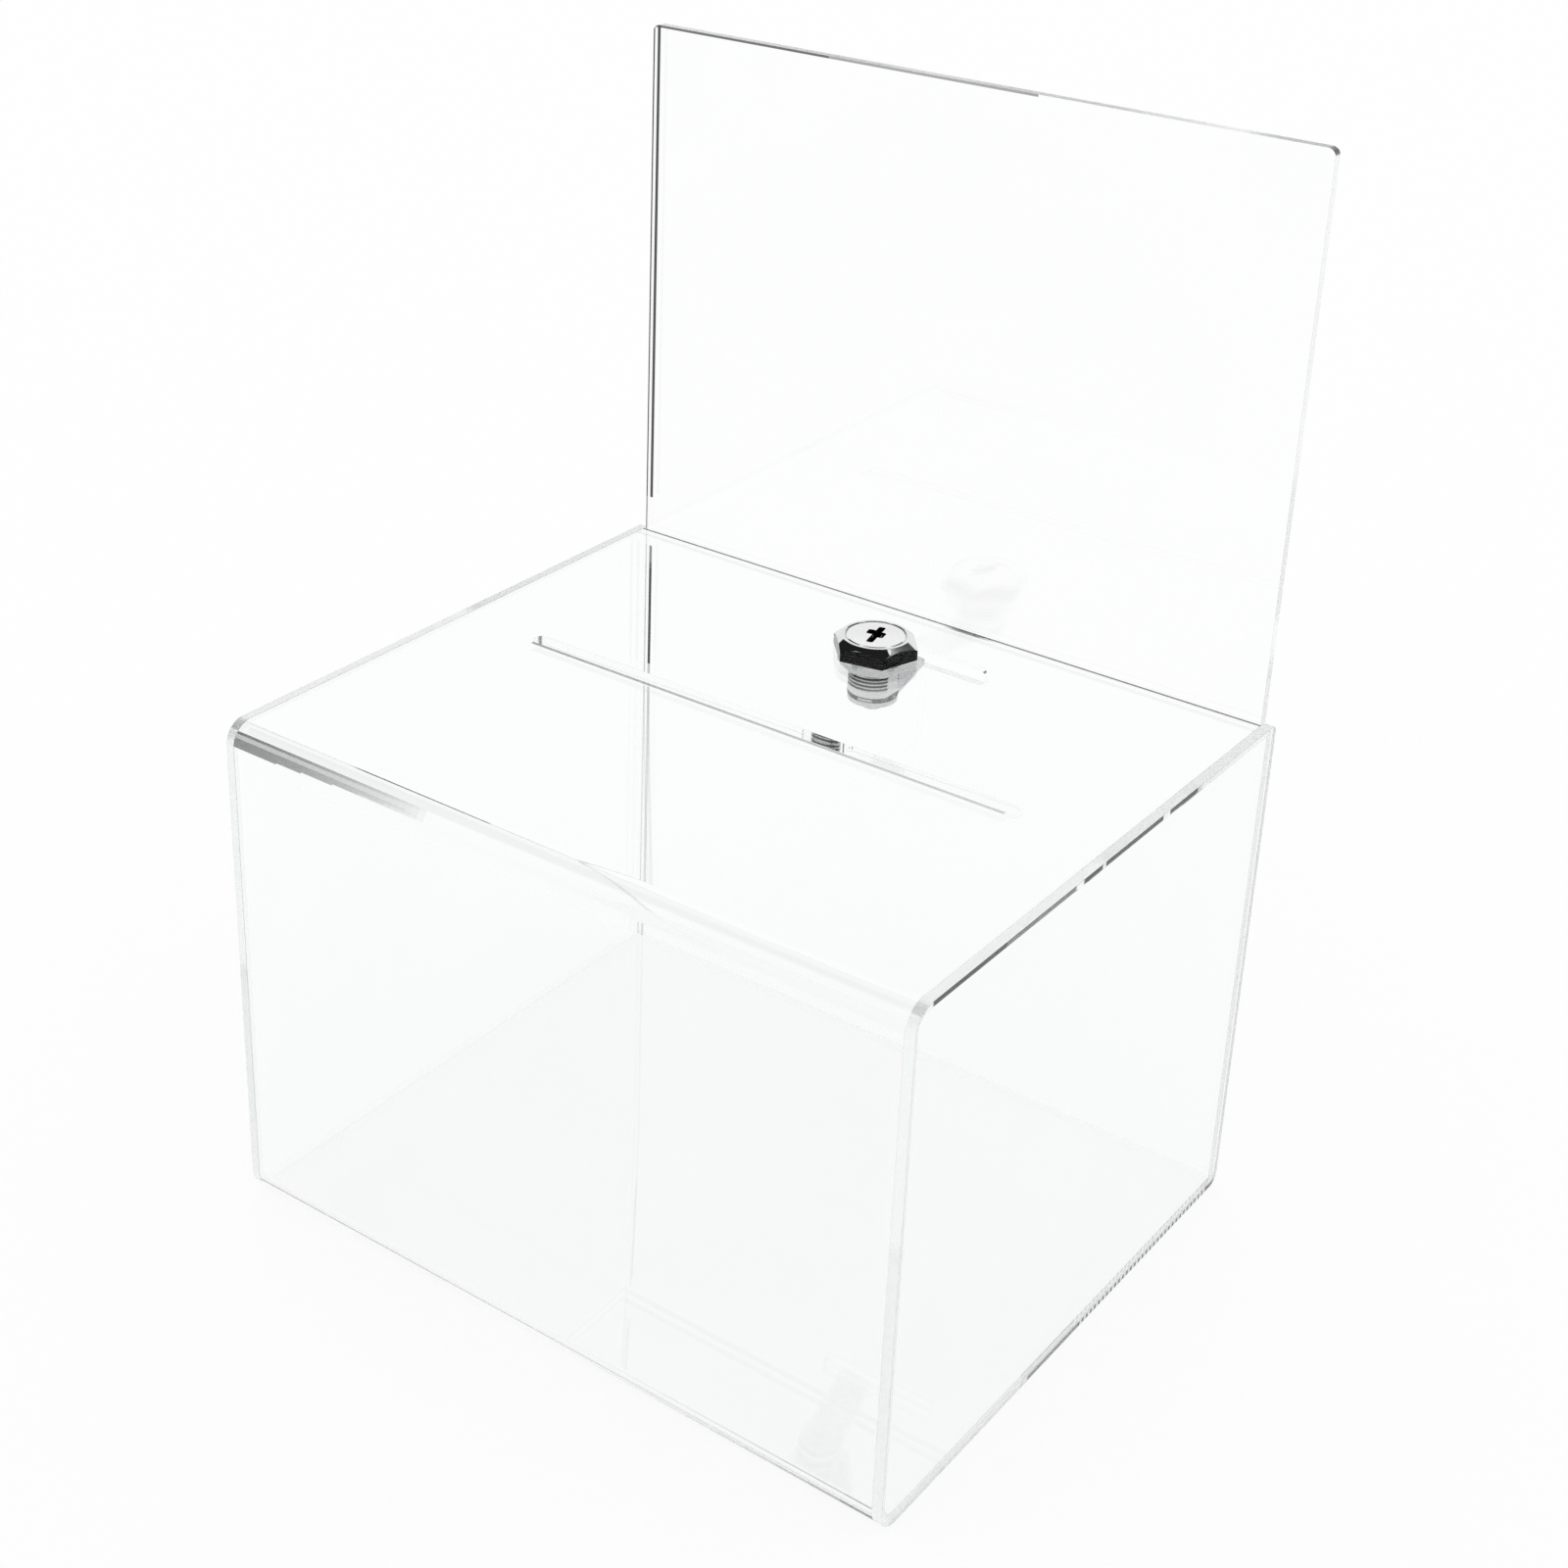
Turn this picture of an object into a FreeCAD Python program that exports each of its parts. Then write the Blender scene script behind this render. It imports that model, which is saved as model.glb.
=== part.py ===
import FreeCAD, Part
import Sketcher
import math
import os
import re

# A clear acrylic donation box: a bent sheet with two cemented sides, a rear panel that stands with a tongue
# in the bottom and carries the sign header, and a wafer cam lock in the top that holds the rear panel down.
# Millimetres, +Z up, origin at the centre of the box's footprint, front at -Y.

SIZES = {
    # Box and header
    "box_width": 295,
    "box_depth": 244,
    "box_height": 206,
    "header_height": 214,
    "sheet": 4,
    "bend_radius": 5,
    "side_rear_top_radius": 3,
    "side_rear_bottom_radius": 6,
    "header_corner_radius": 3,
    # Rear panel between the sides, and its tongue in the bottom
    "panel_rear_inset": 0.3,
    "panel_side_clearance": 0.3,
    "panel_seat_gap": 0.05,
    "top_rear_gap": 0.3,
    "tongue_thickness": 1.9,
    "tongue_length": 1.8,
    "tongue_clearance": 0.15,
    # Money slot
    "slot_length": 217,
    "slot_width": 6.5,
    "slot_corner_radius": 2.5,
    "slot_from_back": 117.5,
    # Lock body and nut
    "lock_from_back": 43.5,
    "head_flats": 30,
    "head_height": 7.4,
    "head_turn": 12,
    "head_face_radius": 13.4,
    "head_chamfer_drop": 3,
    "recess_radius": 12.1,
    "recess_depth": 1.6,
    "barrel_radius": 10,
    "barrel_flats": 18,
    "barrel_length": 18.6,
    "hole_clearance": 0.3,
    "nut_flats": 25,
    "nut_height": 3.5,
    "thread_fit": 0.05,
    # Lock plug and its quarter turn
    "face_gap": 0.5,
    "end_play": 0.1,
    "plug_radius": 7,
    "plug_fit": 0.06,
    "tail_radius": 4.6,
    "tail_flats": 6.8,
    "tail_fit": 0.05,
    "keyway_width": 2.4,
    "keyway_length": 10.6,
    "keyway_depth": 19.6,
    "key_mouth_width": 2.8,
    "key_mouth_length": 14.8,
    "key_mouth_depth": 1.2,
    "left_ward_width": 2.8,
    "left_ward_length": 4,
    "left_ward_along": 1.7,
    "right_ward_width": 2,
    "right_ward_length": 5,
    "right_ward_along": 0.4,
    "turn_range": 90,
    "rest_turn": 12,
    # Wafers and springs
    "wafer_first_drop": 4.6,
    "wafer_pitch": 3,
    "wafer_thickness": 1,
    "wafer_width": 6.8,
    "wafer_fit": 0.05,
    "window_width": 3,
    "window_length": 8.6,
    "window_step": 0.3,
    "ear_reach": 1.9,
    "ear_length": 1,
    "pocket_reach": 2.1,
    "pocket_length": 5.8,
    "pocket_height": 2.1,
    "pocket_fit": 0.3,
    "spring_radius": 0.75,
    "spring_wire": 0.26,
    "spring_turns": 3,
    # Cam, washers and screw
    "stop_thickness": 1.2,
    "stop_radius": 7,
    "stop_gap": 0.3,
    "stop_ear_radius": 9,
    "stop_ear_angle": 40,
    "stop_margin": 2,
    "cam_thickness": 2,
    "cam_width": 16,
    "cam_hub_radius": 9.8,
    "cam_bite": 2,
    "cam_corner_radius": 2,
    "cam_slot_length": 54,
    "cam_slot_height": 6,
    "cam_slot_corner_radius": 2,
    "clamp_gap": 0.1,
    "washer_radius": 7,
    "washer_thickness": 1.2,
    "screw_radius": 2,
    "screw_fit": 0.03,
    "screw_length": 8.4,
    "screw_head_radius": 4,
    "screw_head_height": 2.4,
    "screw_recess_width": 0.9,
    "screw_recess_length": 4.2,
    "screw_recess_depth": 1.2,
}
WAFER_COUNT = 5

# Places worked out from the sizes. The lock's pieces count Z from the top of the box.
INNER_WIDTH = "(box_width - 2 * sheet)"
PANEL_WIDTH = "(box_width - 2 * sheet - 2 * panel_side_clearance)"
PANEL_BACK = "(box_depth / 2 - panel_rear_inset)"
PANEL_FRONT = "(box_depth / 2 - panel_rear_inset - sheet)"
PANEL_BOTTOM = "(sheet + panel_seat_gap)"
LOCK_Y = "(box_depth / 2 - lock_from_back)"
PLUG_END = "(-barrel_length - end_play)"
CAM_TOP = "(-barrel_length - end_play - stop_thickness)"
CAM_BOTTOM = "(-barrel_length - end_play - stop_thickness - cam_thickness)"
WASHER_BOTTOM = "(-barrel_length - end_play - stop_thickness - cam_thickness - washer_thickness)"
LOCKED_REACH = "(lock_from_back - panel_rear_inset - sheet + cam_bite)"
STOP_BORE_RADIUS = "(stop_radius + stop_gap)"
SPRING_ACROSS = "(wafer_width / 2 + wafer_fit + pocket_reach / 2)"

UP = FreeCAD.Vector(0, 0, 1)

doc = FreeCAD.newDocument("donation_box")
sizes = doc.addObject("Spreadsheet::Sheet", "sizes")
for row, (word, number) in enumerate(SIZES.items(), 1):
    sizes.set("A%d" % row, word)
    sizes.set("B%d" % row, str(number))
    sizes.setAlias("B%d" % row, word)
doc.recompute()

nodes = []


def bind(feature, field, text):
    """Tie one field of a feature to a formula whose words are the sheet's sizes."""
    named = re.sub("[a-z_]+", lambda word: "sizes." * (word.group() in SIZES) + word.group(), text)
    feature.setExpression(field, named)


def place(feature, x="0", y="0", z="0", turn="0"):
    """Tie a feature's position, and its turn about its upright axis, to the sheet."""
    feature.Placement = FreeCAD.Placement(FreeCAD.Vector(), FreeCAD.Rotation(UP, 1))
    bind(feature, "Placement.Base.x", x)
    bind(feature, "Placement.Base.y", y)
    bind(feature, "Placement.Base.z", z)
    bind(feature, "Placement.Rotation.Angle", turn)


def finish(feature, label, **position):
    """Give a finished piece its node name and its place in the box."""
    feature.Label = label
    place(feature, **position)
    nodes.append(feature)


def finish_in_lock(feature, label, turn="0"):
    """Give a finished lock piece its node name and set it on the lock's axis."""
    finish(feature, label, y=LOCK_Y, z="box_height", turn=turn)


# Bodies made of sketches


def new_body(name):
    return doc.addObject("PartDesign::Body", name)


def sketch_on(body, name, role, x="0", y="0", z="0"):
    """A sketch on one of the body's own planes, shifted in the sketch's own directions."""
    sketch = body.newObject("Sketcher::SketchObject", name)
    plane = next(item for item in body.Origin.OriginFeatures if item.Role == role)
    sketch.AttachmentSupport = [(plane, "")]
    sketch.MapMode = "FlatFace"
    bind(sketch, "AttachmentOffset.Base.x", x)
    bind(sketch, "AttachmentOffset.Base.y", y)
    bind(sketch, "AttachmentOffset.Base.z", z)
    return sketch


def constrain(sketch, kind, *places):
    return sketch.addConstraint(Sketcher.Constraint(kind, *places))


def measure(sketch, name, kind, *places, text):
    """Add one named dimension to a sketch and tie it to the sheet."""
    sketch.renameConstraint(constrain(sketch, kind, *places), name)
    bind(sketch, "Constraints." + name, text)


def draw_loop(sketch, corners):
    """Straight lines from corner to corner, joined at their ends."""
    count = len(corners)
    for index in range(count):
        start = FreeCAD.Vector(*corners[index], 0)
        end = FreeCAD.Vector(*corners[(index + 1) % count], 0)
        sketch.addGeometry(Part.LineSegment(start, end), False)
    for index in range(count):
        constrain(sketch, "Coincident", index, 2, (index + 1) % count, 1)


def draw_rectangle(sketch, width, height):
    """A rectangle about the sketch's origin."""
    draw_loop(sketch, [(-10, -8), (10, -8), (10, 8), (-10, 8)])
    for line, kind in enumerate(("Horizontal", "Vertical", "Horizontal", "Vertical")):
        constrain(sketch, kind, line)
    constrain(sketch, "Symmetric", 0, 1, 2, 1, -1, 1)
    measure(sketch, "width", "DistanceX", 0, 1, 0, 2, 20, text=width)
    measure(sketch, "height", "DistanceY", 1, 1, 1, 2, 16, text=height)


def draw_circle(sketch, radius):
    """A circle about the sketch's origin."""
    sketch.addGeometry(Part.Circle(FreeCAD.Vector(), UP, 5), False)
    constrain(sketch, "Coincident", 0, 3, -1, 1)
    measure(sketch, "radius", "Radius", 0, 5, text=radius)


def draw_double_flat(sketch, radius, flats):
    """A circle about the sketch's origin with a flat on its left and its right."""
    circle = Part.Circle(FreeCAD.Vector(), UP, 10)
    corner = math.acos(0.8)
    right = 10 * math.cos(corner)
    top = FreeCAD.Vector(right, 10 * math.sin(corner), 0)
    bottom = FreeCAD.Vector(right, -10 * math.sin(corner), 0)
    sketch.addGeometry(Part.LineSegment(bottom, top), False)
    sketch.addGeometry(Part.ArcOfCircle(circle, corner, math.pi - corner), False)
    sketch.addGeometry(Part.LineSegment(-bottom, -top), False)
    sketch.addGeometry(Part.ArcOfCircle(circle, math.pi + corner, 2 * math.pi - corner), False)
    for item in range(4):
        constrain(sketch, "Coincident", item, 2, (item + 1) % 4, 1)
    for arc in (1, 3):
        constrain(sketch, "Coincident", arc, 3, -1, 1)
    for line in (0, 2):
        constrain(sketch, "Vertical", line)
    constrain(sketch, "Symmetric", 0, 1, 2, 1, -1, 1)
    measure(sketch, "radius", "Radius", 1, 10, text=radius)
    measure(sketch, "flats", "DistanceX", 2, 1, 0, 2, 2 * right, text=flats)


def pad(body, sketch, length):
    feature = body.newObject("PartDesign::Pad", sketch.Name + "_pad")
    feature.Profile = sketch
    bind(feature, "Length", length)
    return feature


def pocket(body, sketch, length, forwards=False):
    """Cut against the sketch's normal, or along it, and make sure that something was cut."""
    doc.recompute()
    volume_before = body.Shape.Volume
    feature = body.newObject("PartDesign::Pocket", sketch.Name + "_pocket")
    feature.Profile = sketch
    feature.Reversed = forwards
    bind(feature, "Length", length)
    doc.recompute()
    if body.Shape.Volume >= volume_before:
        raise RuntimeError(feature.Name + " cuts nothing")
    return feature


def runs_along(edge, axis):
    """True for a straight edge parallel to an axis."""
    straight = isinstance(edge.Curve, Part.Line)
    return straight and abs(edge.tangentAt(edge.FirstParameter).dot(axis)) > 0.999


def round_edges(body, name, radius, wanted):
    """Round the edges of the body's last feature that a test picks out."""
    doc.recompute()
    base = body.Tip
    picked = ["Edge%d" % (index + 1) for index, edge in enumerate(base.Shape.Edges) if wanted(edge)]
    feature = body.newObject("PartDesign::Fillet", name)
    feature.Base = (base, picked)
    bind(feature, "Radius", radius)
    return feature


# Pieces made of primitives


def cylinder(name, radius, low, high, **position):
    feature = doc.addObject("Part::Cylinder", name)
    bind(feature, "Radius", radius)
    bind(feature, "Height", "(%s) - (%s)" % (high, low))
    place(feature, z=low, **position)
    return feature


def sector(name, radius, low, high, start, angle):
    """A slice of a cylinder about the axis, from one angle onwards."""
    feature = cylinder(name, radius, low, high, turn=start)
    bind(feature, "Angle", angle)
    return feature


def block(name, length, width, low, high, x="0", y="0"):
    """A box about an upright line, by its sizes along X and Y and its lower and upper height."""
    feature = doc.addObject("Part::Box", name)
    bind(feature, "Length", length)
    bind(feature, "Width", width)
    bind(feature, "Height", "(%s) - (%s)" % (high, low))
    place(feature, "(%s) - (%s) / 2" % (x, length), "(%s) - (%s) / 2" % (y, width), low)
    return feature


def hexagon(name, flats, low, high, turn):
    """A hexagonal prism with a corner that points to the right before it is turned."""
    feature = doc.addObject("Part::Prism", name)
    feature.Polygon = 6
    bind(feature, "Circumradius", "%s / sqrt(3)" % flats)
    bind(feature, "Height", "(%s) - (%s)" % (high, low))
    place(feature, z=low, turn=turn)
    return feature


def fuse(name, *features):
    feature = doc.addObject("Part::MultiFuse", name)
    feature.Shapes = features
    feature.Refine = True
    return feature


def overlap(name, base, tool):
    feature = doc.addObject("Part::Common", name)
    feature.Base = base
    feature.Tool = tool
    return feature


def cut(name, base, *tools):
    feature = doc.addObject("Part::Cut", name)
    feature.Base = base
    feature.Tool = tools[0] if len(tools) == 1 else fuse(name + "_tools", *tools)
    return feature


def double_flat(name, radius, flats, low, high, turn="0"):
    """A round bar with a flat on its left and its right."""
    bar = overlap(name, cylinder(name + "_round", radius, low, high), block(name + "_flats", flats,
                  "3 * (%s)" % radius, low, high))
    place(bar, turn=turn)
    return bar


# The acrylic box


def make_wrap():
    """Top, front and bottom in one sheet with two bends, rear groove, money slot and lock hole."""
    body = new_body("wrap")
    left_end = "-%s / 2" % INNER_WIDTH
    outline = sketch_on(body, "wrap_outline", "YZ_Plane", y="box_height / 2", z=left_end)
    draw_rectangle(outline, "box_depth", "box_height")
    pad(body, outline, INNER_WIDTH)
    across = FreeCAD.Vector(1, 0, 0)
    round_edges(body, "wrap_outer_bends", "bend_radius + sheet",
                lambda edge: runs_along(edge, across) and edge.CenterOfMass.y < 0)
    hollow = sketch_on(body, "wrap_hollow", "YZ_Plane", x="sheet", y="box_height / 2", z=left_end)
    draw_rectangle(hollow, "box_depth", "box_height - 2 * sheet")
    pocket(body, hollow, INNER_WIDTH, forwards=True)
    inner_front = sizes.sheet - sizes.box_depth / 2
    round_edges(body, "wrap_inner_bends", "bend_radius",
                lambda edge: runs_along(edge, across) and abs(edge.CenterOfMass.y - inner_front) < 0.01)
    strip = "(panel_rear_inset + sheet + top_rear_gap)"
    rear_edge = sketch_on(body, "wrap_top_rear", "XY_Plane", y="box_depth / 2 - %s / 2" % strip,
                          z="box_height")
    draw_rectangle(rear_edge, "box_width", strip)
    pocket(body, rear_edge, "2 * sheet")
    groove = sketch_on(body, "tongue_groove", "XY_Plane", y="%s + tongue_thickness / 2" % PANEL_FRONT,
                       z="sheet")
    draw_rectangle(groove, "box_width", "tongue_thickness + 2 * tongue_clearance")
    pocket(body, groove, "tongue_length + tongue_clearance")
    slot = sketch_on(body, "money_slot", "XY_Plane", y="box_depth / 2 - slot_from_back", z="box_height")
    draw_rectangle(slot, "slot_length", "slot_width")
    pocket(body, slot, "2 * sheet")
    inside_end = sizes.box_width / 2 - sizes.sheet - 1
    round_edges(body, "money_slot_corners", "slot_corner_radius",
                lambda edge: runs_along(edge, UP) and edge.Length < 2 * sizes.sheet
                and abs(edge.CenterOfMass.x) < inside_end)
    hole = sketch_on(body, "lock_hole", "XY_Plane", y=LOCK_Y, z="box_height")
    draw_double_flat(hole, "barrel_radius + hole_clearance", "barrel_flats + 2 * hole_clearance")
    pocket(body, hole, "2 * sheet")
    finish(body, "wrap_sheet")


def make_side(label, left_x):
    """A side sheet with the bends' corners in front and smaller rounded corners at the back."""
    body = new_body(label.split("_")[0] + "_side")
    outline = sketch_on(body, label + "_outline", "YZ_Plane", y="box_height / 2", z=left_x)
    draw_rectangle(outline, "box_depth", "box_height")
    pad(body, outline, "sheet")
    across = FreeCAD.Vector(1, 0, 0)
    middle = sizes.box_height / 2
    round_edges(body, label + "_front", "bend_radius + sheet",
                lambda edge: runs_along(edge, across) and edge.CenterOfMass.y < 0)
    round_edges(body, label + "_rear_top", "side_rear_top_radius",
                lambda edge: runs_along(edge, across) and edge.CenterOfMass.y > sizes.box_depth / 2 - 1
                and edge.CenterOfMass.z > middle)
    round_edges(body, label + "_rear_bottom", "side_rear_bottom_radius",
                lambda edge: runs_along(edge, across) and edge.CenterOfMass.y > sizes.box_depth / 2 - 1
                and edge.CenterOfMass.z < middle)
    finish(body, label)


def make_rear_panel():
    """The sheet that closes the back and carries the header, with a tongue below and the cam's slot."""
    body = new_body("rear")
    height = "(box_height + header_height - %s)" % PANEL_BOTTOM
    outline = sketch_on(body, "rear_outline", "XZ_Plane", y="%s + %s / 2" % (PANEL_BOTTOM, height),
                        z="-" + PANEL_BACK)
    draw_rectangle(outline, PANEL_WIDTH, height)
    pad(body, outline, "sheet")
    tongue = sketch_on(body, "rear_tongue", "XZ_Plane", y=PANEL_BOTTOM,
                       z="-%s - tongue_thickness" % PANEL_FRONT)
    draw_rectangle(tongue, PANEL_WIDTH, "2 * tongue_length")
    pad(body, tongue, "tongue_thickness")
    backwards = FreeCAD.Vector(0, 1, 0)
    round_edges(body, "header_corners", "header_corner_radius",
                lambda edge: runs_along(edge, backwards) and edge.CenterOfMass.z > sizes.box_height)
    slot = sketch_on(body, "cam_slot", "XZ_Plane", y="box_height + (%s + %s) / 2" % (CAM_TOP, CAM_BOTTOM),
                     z="-" + PANEL_FRONT)
    draw_rectangle(slot, "cam_slot_length", "cam_slot_height")
    pocket(body, slot, "2 * sheet")
    round_edges(body, "cam_slot_corners", "cam_slot_corner_radius",
                lambda edge: runs_along(edge, backwards)
                and abs(edge.CenterOfMass.x) < sizes.cam_slot_length / 2 + 1)
    finish(body, "rear_panel")


# The cam lock


def make_lock_body():
    """Chamfered hexagon head and a barrel with two flats, bored for the plug, with a stop at its end."""
    chamfer_width = "(head_flats / sqrt(3) - head_face_radius)"
    cone = doc.addObject("Part::Cone", "head_chamfer")
    bind(cone, "Radius1", "head_face_radius + %s * head_height / head_chamfer_drop" % chamfer_width)
    bind(cone, "Radius2", "head_face_radius")
    bind(cone, "Height", "head_height")
    head = overlap("head", hexagon("head_hexagon", "head_flats", "0", "head_height", "head_turn"), cone)
    barrel_end = "-barrel_length - stop_thickness"
    barrel = double_flat("barrel", "barrel_radius", "barrel_flats", barrel_end,
                         "head_height - recess_depth - 1")
    recess = cylinder("face_recess", "recess_radius", "head_height - recess_depth", "head_height + 1")
    bore = cylinder("plug_bore", "plug_radius + plug_fit", "%s - 1" % barrel_end, "head_height")
    stop_bore = cylinder("stop_bore", STOP_BORE_RADIUS, "%s - 1" % barrel_end, "-barrel_length")
    stop_path = sector("stop_path", "2 * barrel_radius", "%s - 1" % barrel_end, "-barrel_length",
                       "270 - stop_ear_angle / 2 - stop_margin",
                       "turn_range + stop_ear_angle + 2 * stop_margin")
    blank = fuse("head_and_barrel", head, barrel)
    finish_in_lock(cut("lock_housing", blank, recess, bore, stop_bore, stop_path), "lock_body")


def make_nut():
    """Thin hexagon nut that clamps the top sheet under the head."""
    blank = hexagon("nut_blank", "nut_flats", "-sheet - nut_height", "-sheet", "30")
    thread = cylinder("nut_thread", "barrel_radius + thread_fit", "-sheet - nut_height - 1", "1 - sheet")
    finish_in_lock(cut("hexagon_nut", blank, thread), "lock_nut")


def wafer_level(index):
    """Height of a wafer's middle."""
    return "(head_height - wafer_first_drop - %d * wafer_pitch)" % index


def wafer_side(index):
    """Neighbouring wafers have their springs on opposite sides."""
    return 1 if index % 2 == 0 else -1


def make_plug():
    """Face, core and keyed tail, with key slot, wafer slots, spring pockets and screw hole, as locked."""
    face_low = "head_height - recess_depth + end_play"
    face = cylinder("plug_face", "recess_radius - face_gap", face_low, "head_height - end_play")
    core = cylinder("plug_core", "plug_radius", PLUG_END, "head_height - recess_depth / 2")
    tail = double_flat("plug_tail", "tail_radius", "tail_flats", CAM_BOTTOM + " + clamp_gap",
                       PLUG_END + " + 1")
    mouth_low = "head_height - end_play - key_mouth_depth"
    tools = [
        block("keyway", "keyway_width", "keyway_length", "head_height - keyway_depth", "head_height"),
        block("key_mouth", "key_mouth_width", "key_mouth_length", mouth_low, "head_height"),
        block("left_ward", "left_ward_width", "left_ward_length", mouth_low, "head_height",
              "-(key_mouth_width + left_ward_width) / 2", "left_ward_along"),
        block("right_ward", "right_ward_width", "right_ward_length", mouth_low, "head_height",
              "(key_mouth_width + right_ward_width) / 2", "right_ward_along"),
    ]
    for index in range(WAFER_COUNT):
        level = wafer_level(index)
        slot_half = "(wafer_thickness / 2 + wafer_fit)"
        tools.append(block("wafer_slot_%d" % index, "wafer_width + 2 * wafer_fit", "3 * plug_radius",
                           "%s - %s" % (level, slot_half), "%s + %s" % (level, slot_half)))
        tools.append(block("spring_pocket_%d" % index, "pocket_reach + wafer_fit", "pocket_length",
                           "%s - pocket_height / 2" % level, "%s + pocket_height / 2" % level,
                           "%d * (%s - wafer_fit / 2)" % (wafer_side(index), SPRING_ACROSS)))
    tools.append(cylinder("screw_hole", "screw_radius", CAM_BOTTOM,
                          WASHER_BOTTOM + " + screw_length + screw_radius"))
    plug = cut("turning_plug", fuse("plug_blank", face, core, tail), *tools)
    finish_in_lock(plug, "lock_plug", turn="rest_turn")


def make_wafers():
    """Flat wafers, flush with the plug as with the key in, each with its own window and a spring ear."""
    for index in range(WAFER_COUNT):
        low = "%s - wafer_thickness / 2" % wafer_level(index)
        high = "%s + wafer_thickness / 2" % wafer_level(index)
        name = "wafer_%d" % (index + 1)
        plate = overlap(name + "_plate",
                        cylinder(name + "_round", "plug_radius - wafer_fit", low, high),
                        block(name + "_strip", "wafer_width", "3 * plug_radius", low, high))
        ear_across = "%d * (wafer_width / 2 + ear_reach / 2 - wafer_thickness / 2)" % wafer_side(index)
        ear = block(name + "_ear", "ear_reach + wafer_thickness", "ear_length", low, high, ear_across,
                    "(ear_length - pocket_length) / 2 + pocket_fit")
        window = block(name + "_window", "window_width", "window_length", low + " - 1", high + " + 1",
                       y="%d * window_step" % (index - WAFER_COUNT // 2))
        wafer = cut(name, fuse(name + "_blank", plate, ear), window)
        finish_in_lock(wafer, "tumbler_" + name, turn="rest_turn")


def biarc(start, start_way, end, end_way):
    """Two arcs that join two points and meet their directions and each other smoothly."""
    chord = end - start
    ways = start_way + end_way
    bend = 2 * (1 - start_way.dot(end_way))
    reach = (math.sqrt(chord.dot(ways) ** 2 + bend * chord.dot(chord)) - chord.dot(ways)) / bend
    first_corner = start + start_way * reach
    last_corner = end - end_way * reach
    joint = (first_corner + last_corner) * 0.5
    arcs = []
    for near, corner, far in ((start, first_corner, joint), (joint, last_corner, end)):
        middle = (near + far) * 0.5
        half = (far - near).Length / 2
        rise = half * math.tan(math.acos(half / reach) / 2)
        crown = middle + (corner - middle).normalize() * rise
        arcs.append(Part.Arc(near, crown, far).toShape())
    return arcs


def coil_shape(length):
    """A spring along +Y from the origin, as one square wire swept along half turns."""
    radius = sizes.spring_radius
    half_wire = sizes.spring_wire / 2
    steps = 2 * int(sizes.spring_turns)
    rise = (length - 2 * sizes.spring_wire) / steps

    def point(step):
        side = radius * (-1) ** step
        return FreeCAD.Vector(side, sizes.spring_wire + rise * step, 0)

    def way(step):
        return FreeCAD.Vector(0, rise, radius * math.pi * (-1) ** step).normalize()

    edges = []
    for step in range(steps):
        edges += biarc(point(step), way(step), point(step + 1), way(step + 1))
    outwards = FreeCAD.Vector(half_wire, 0, 0)
    sideways = way(0).cross(outwards)
    corners = ((1, 1), (1, -1), (-1, -1), (-1, 1))
    section = [point(0) + outwards * across + sideways * along for across, along in corners]
    shell = Part.BRepOffsetAPI.MakePipeShell(Part.Wire(edges))
    shell.add(Part.makePolygon(section + section[:1]))
    shell.build()
    shell.makeSolid()
    return shell.shape()


def make_springs():
    """Small coils between each wafer's ear and the far end of its pocket."""
    along = "((2 * ear_length - pocket_length) / 2 + 1.5 * pocket_fit)"
    length = sizes.pocket_length - sizes.ear_length - 2 * sizes.pocket_fit
    for index in range(WAFER_COUNT):
        across = "%d * %s" % (wafer_side(index), SPRING_ACROSS)
        spring = doc.addObject("Part::Feature", "spring_%d" % (index + 1))
        spring.Shape = coil_shape(length)
        finish(spring, "wafer_spring_%d" % (index + 1), turn="rest_turn",
               x="%s * cos(rest_turn) - %s * sin(rest_turn)" % (across, along),
               y="%s + %s * sin(rest_turn) + %s * cos(rest_turn)" % (LOCK_Y, across, along),
               z="box_height + " + wafer_level(index))


def make_stop_washer():
    """Washer keyed to the tail; its ear runs between the stops at the barrel's end."""
    ring = cylinder("stop_ring", "stop_radius", CAM_TOP, PLUG_END)
    ear = sector("stop_ear", "stop_ear_radius", CAM_TOP, PLUG_END,
                 "270 - stop_ear_angle / 2", "stop_ear_angle")
    hole = double_flat("stop_hole", "tail_radius + tail_fit", "tail_flats + 2 * tail_fit", CAM_TOP + " - 1",
                       PLUG_END + " + 1")
    plate = cut("stop_plate", fuse("stop_blank", ring, ear), hole)
    finish_in_lock(plate, "cam_stop_washer", turn="rest_turn")


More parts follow.
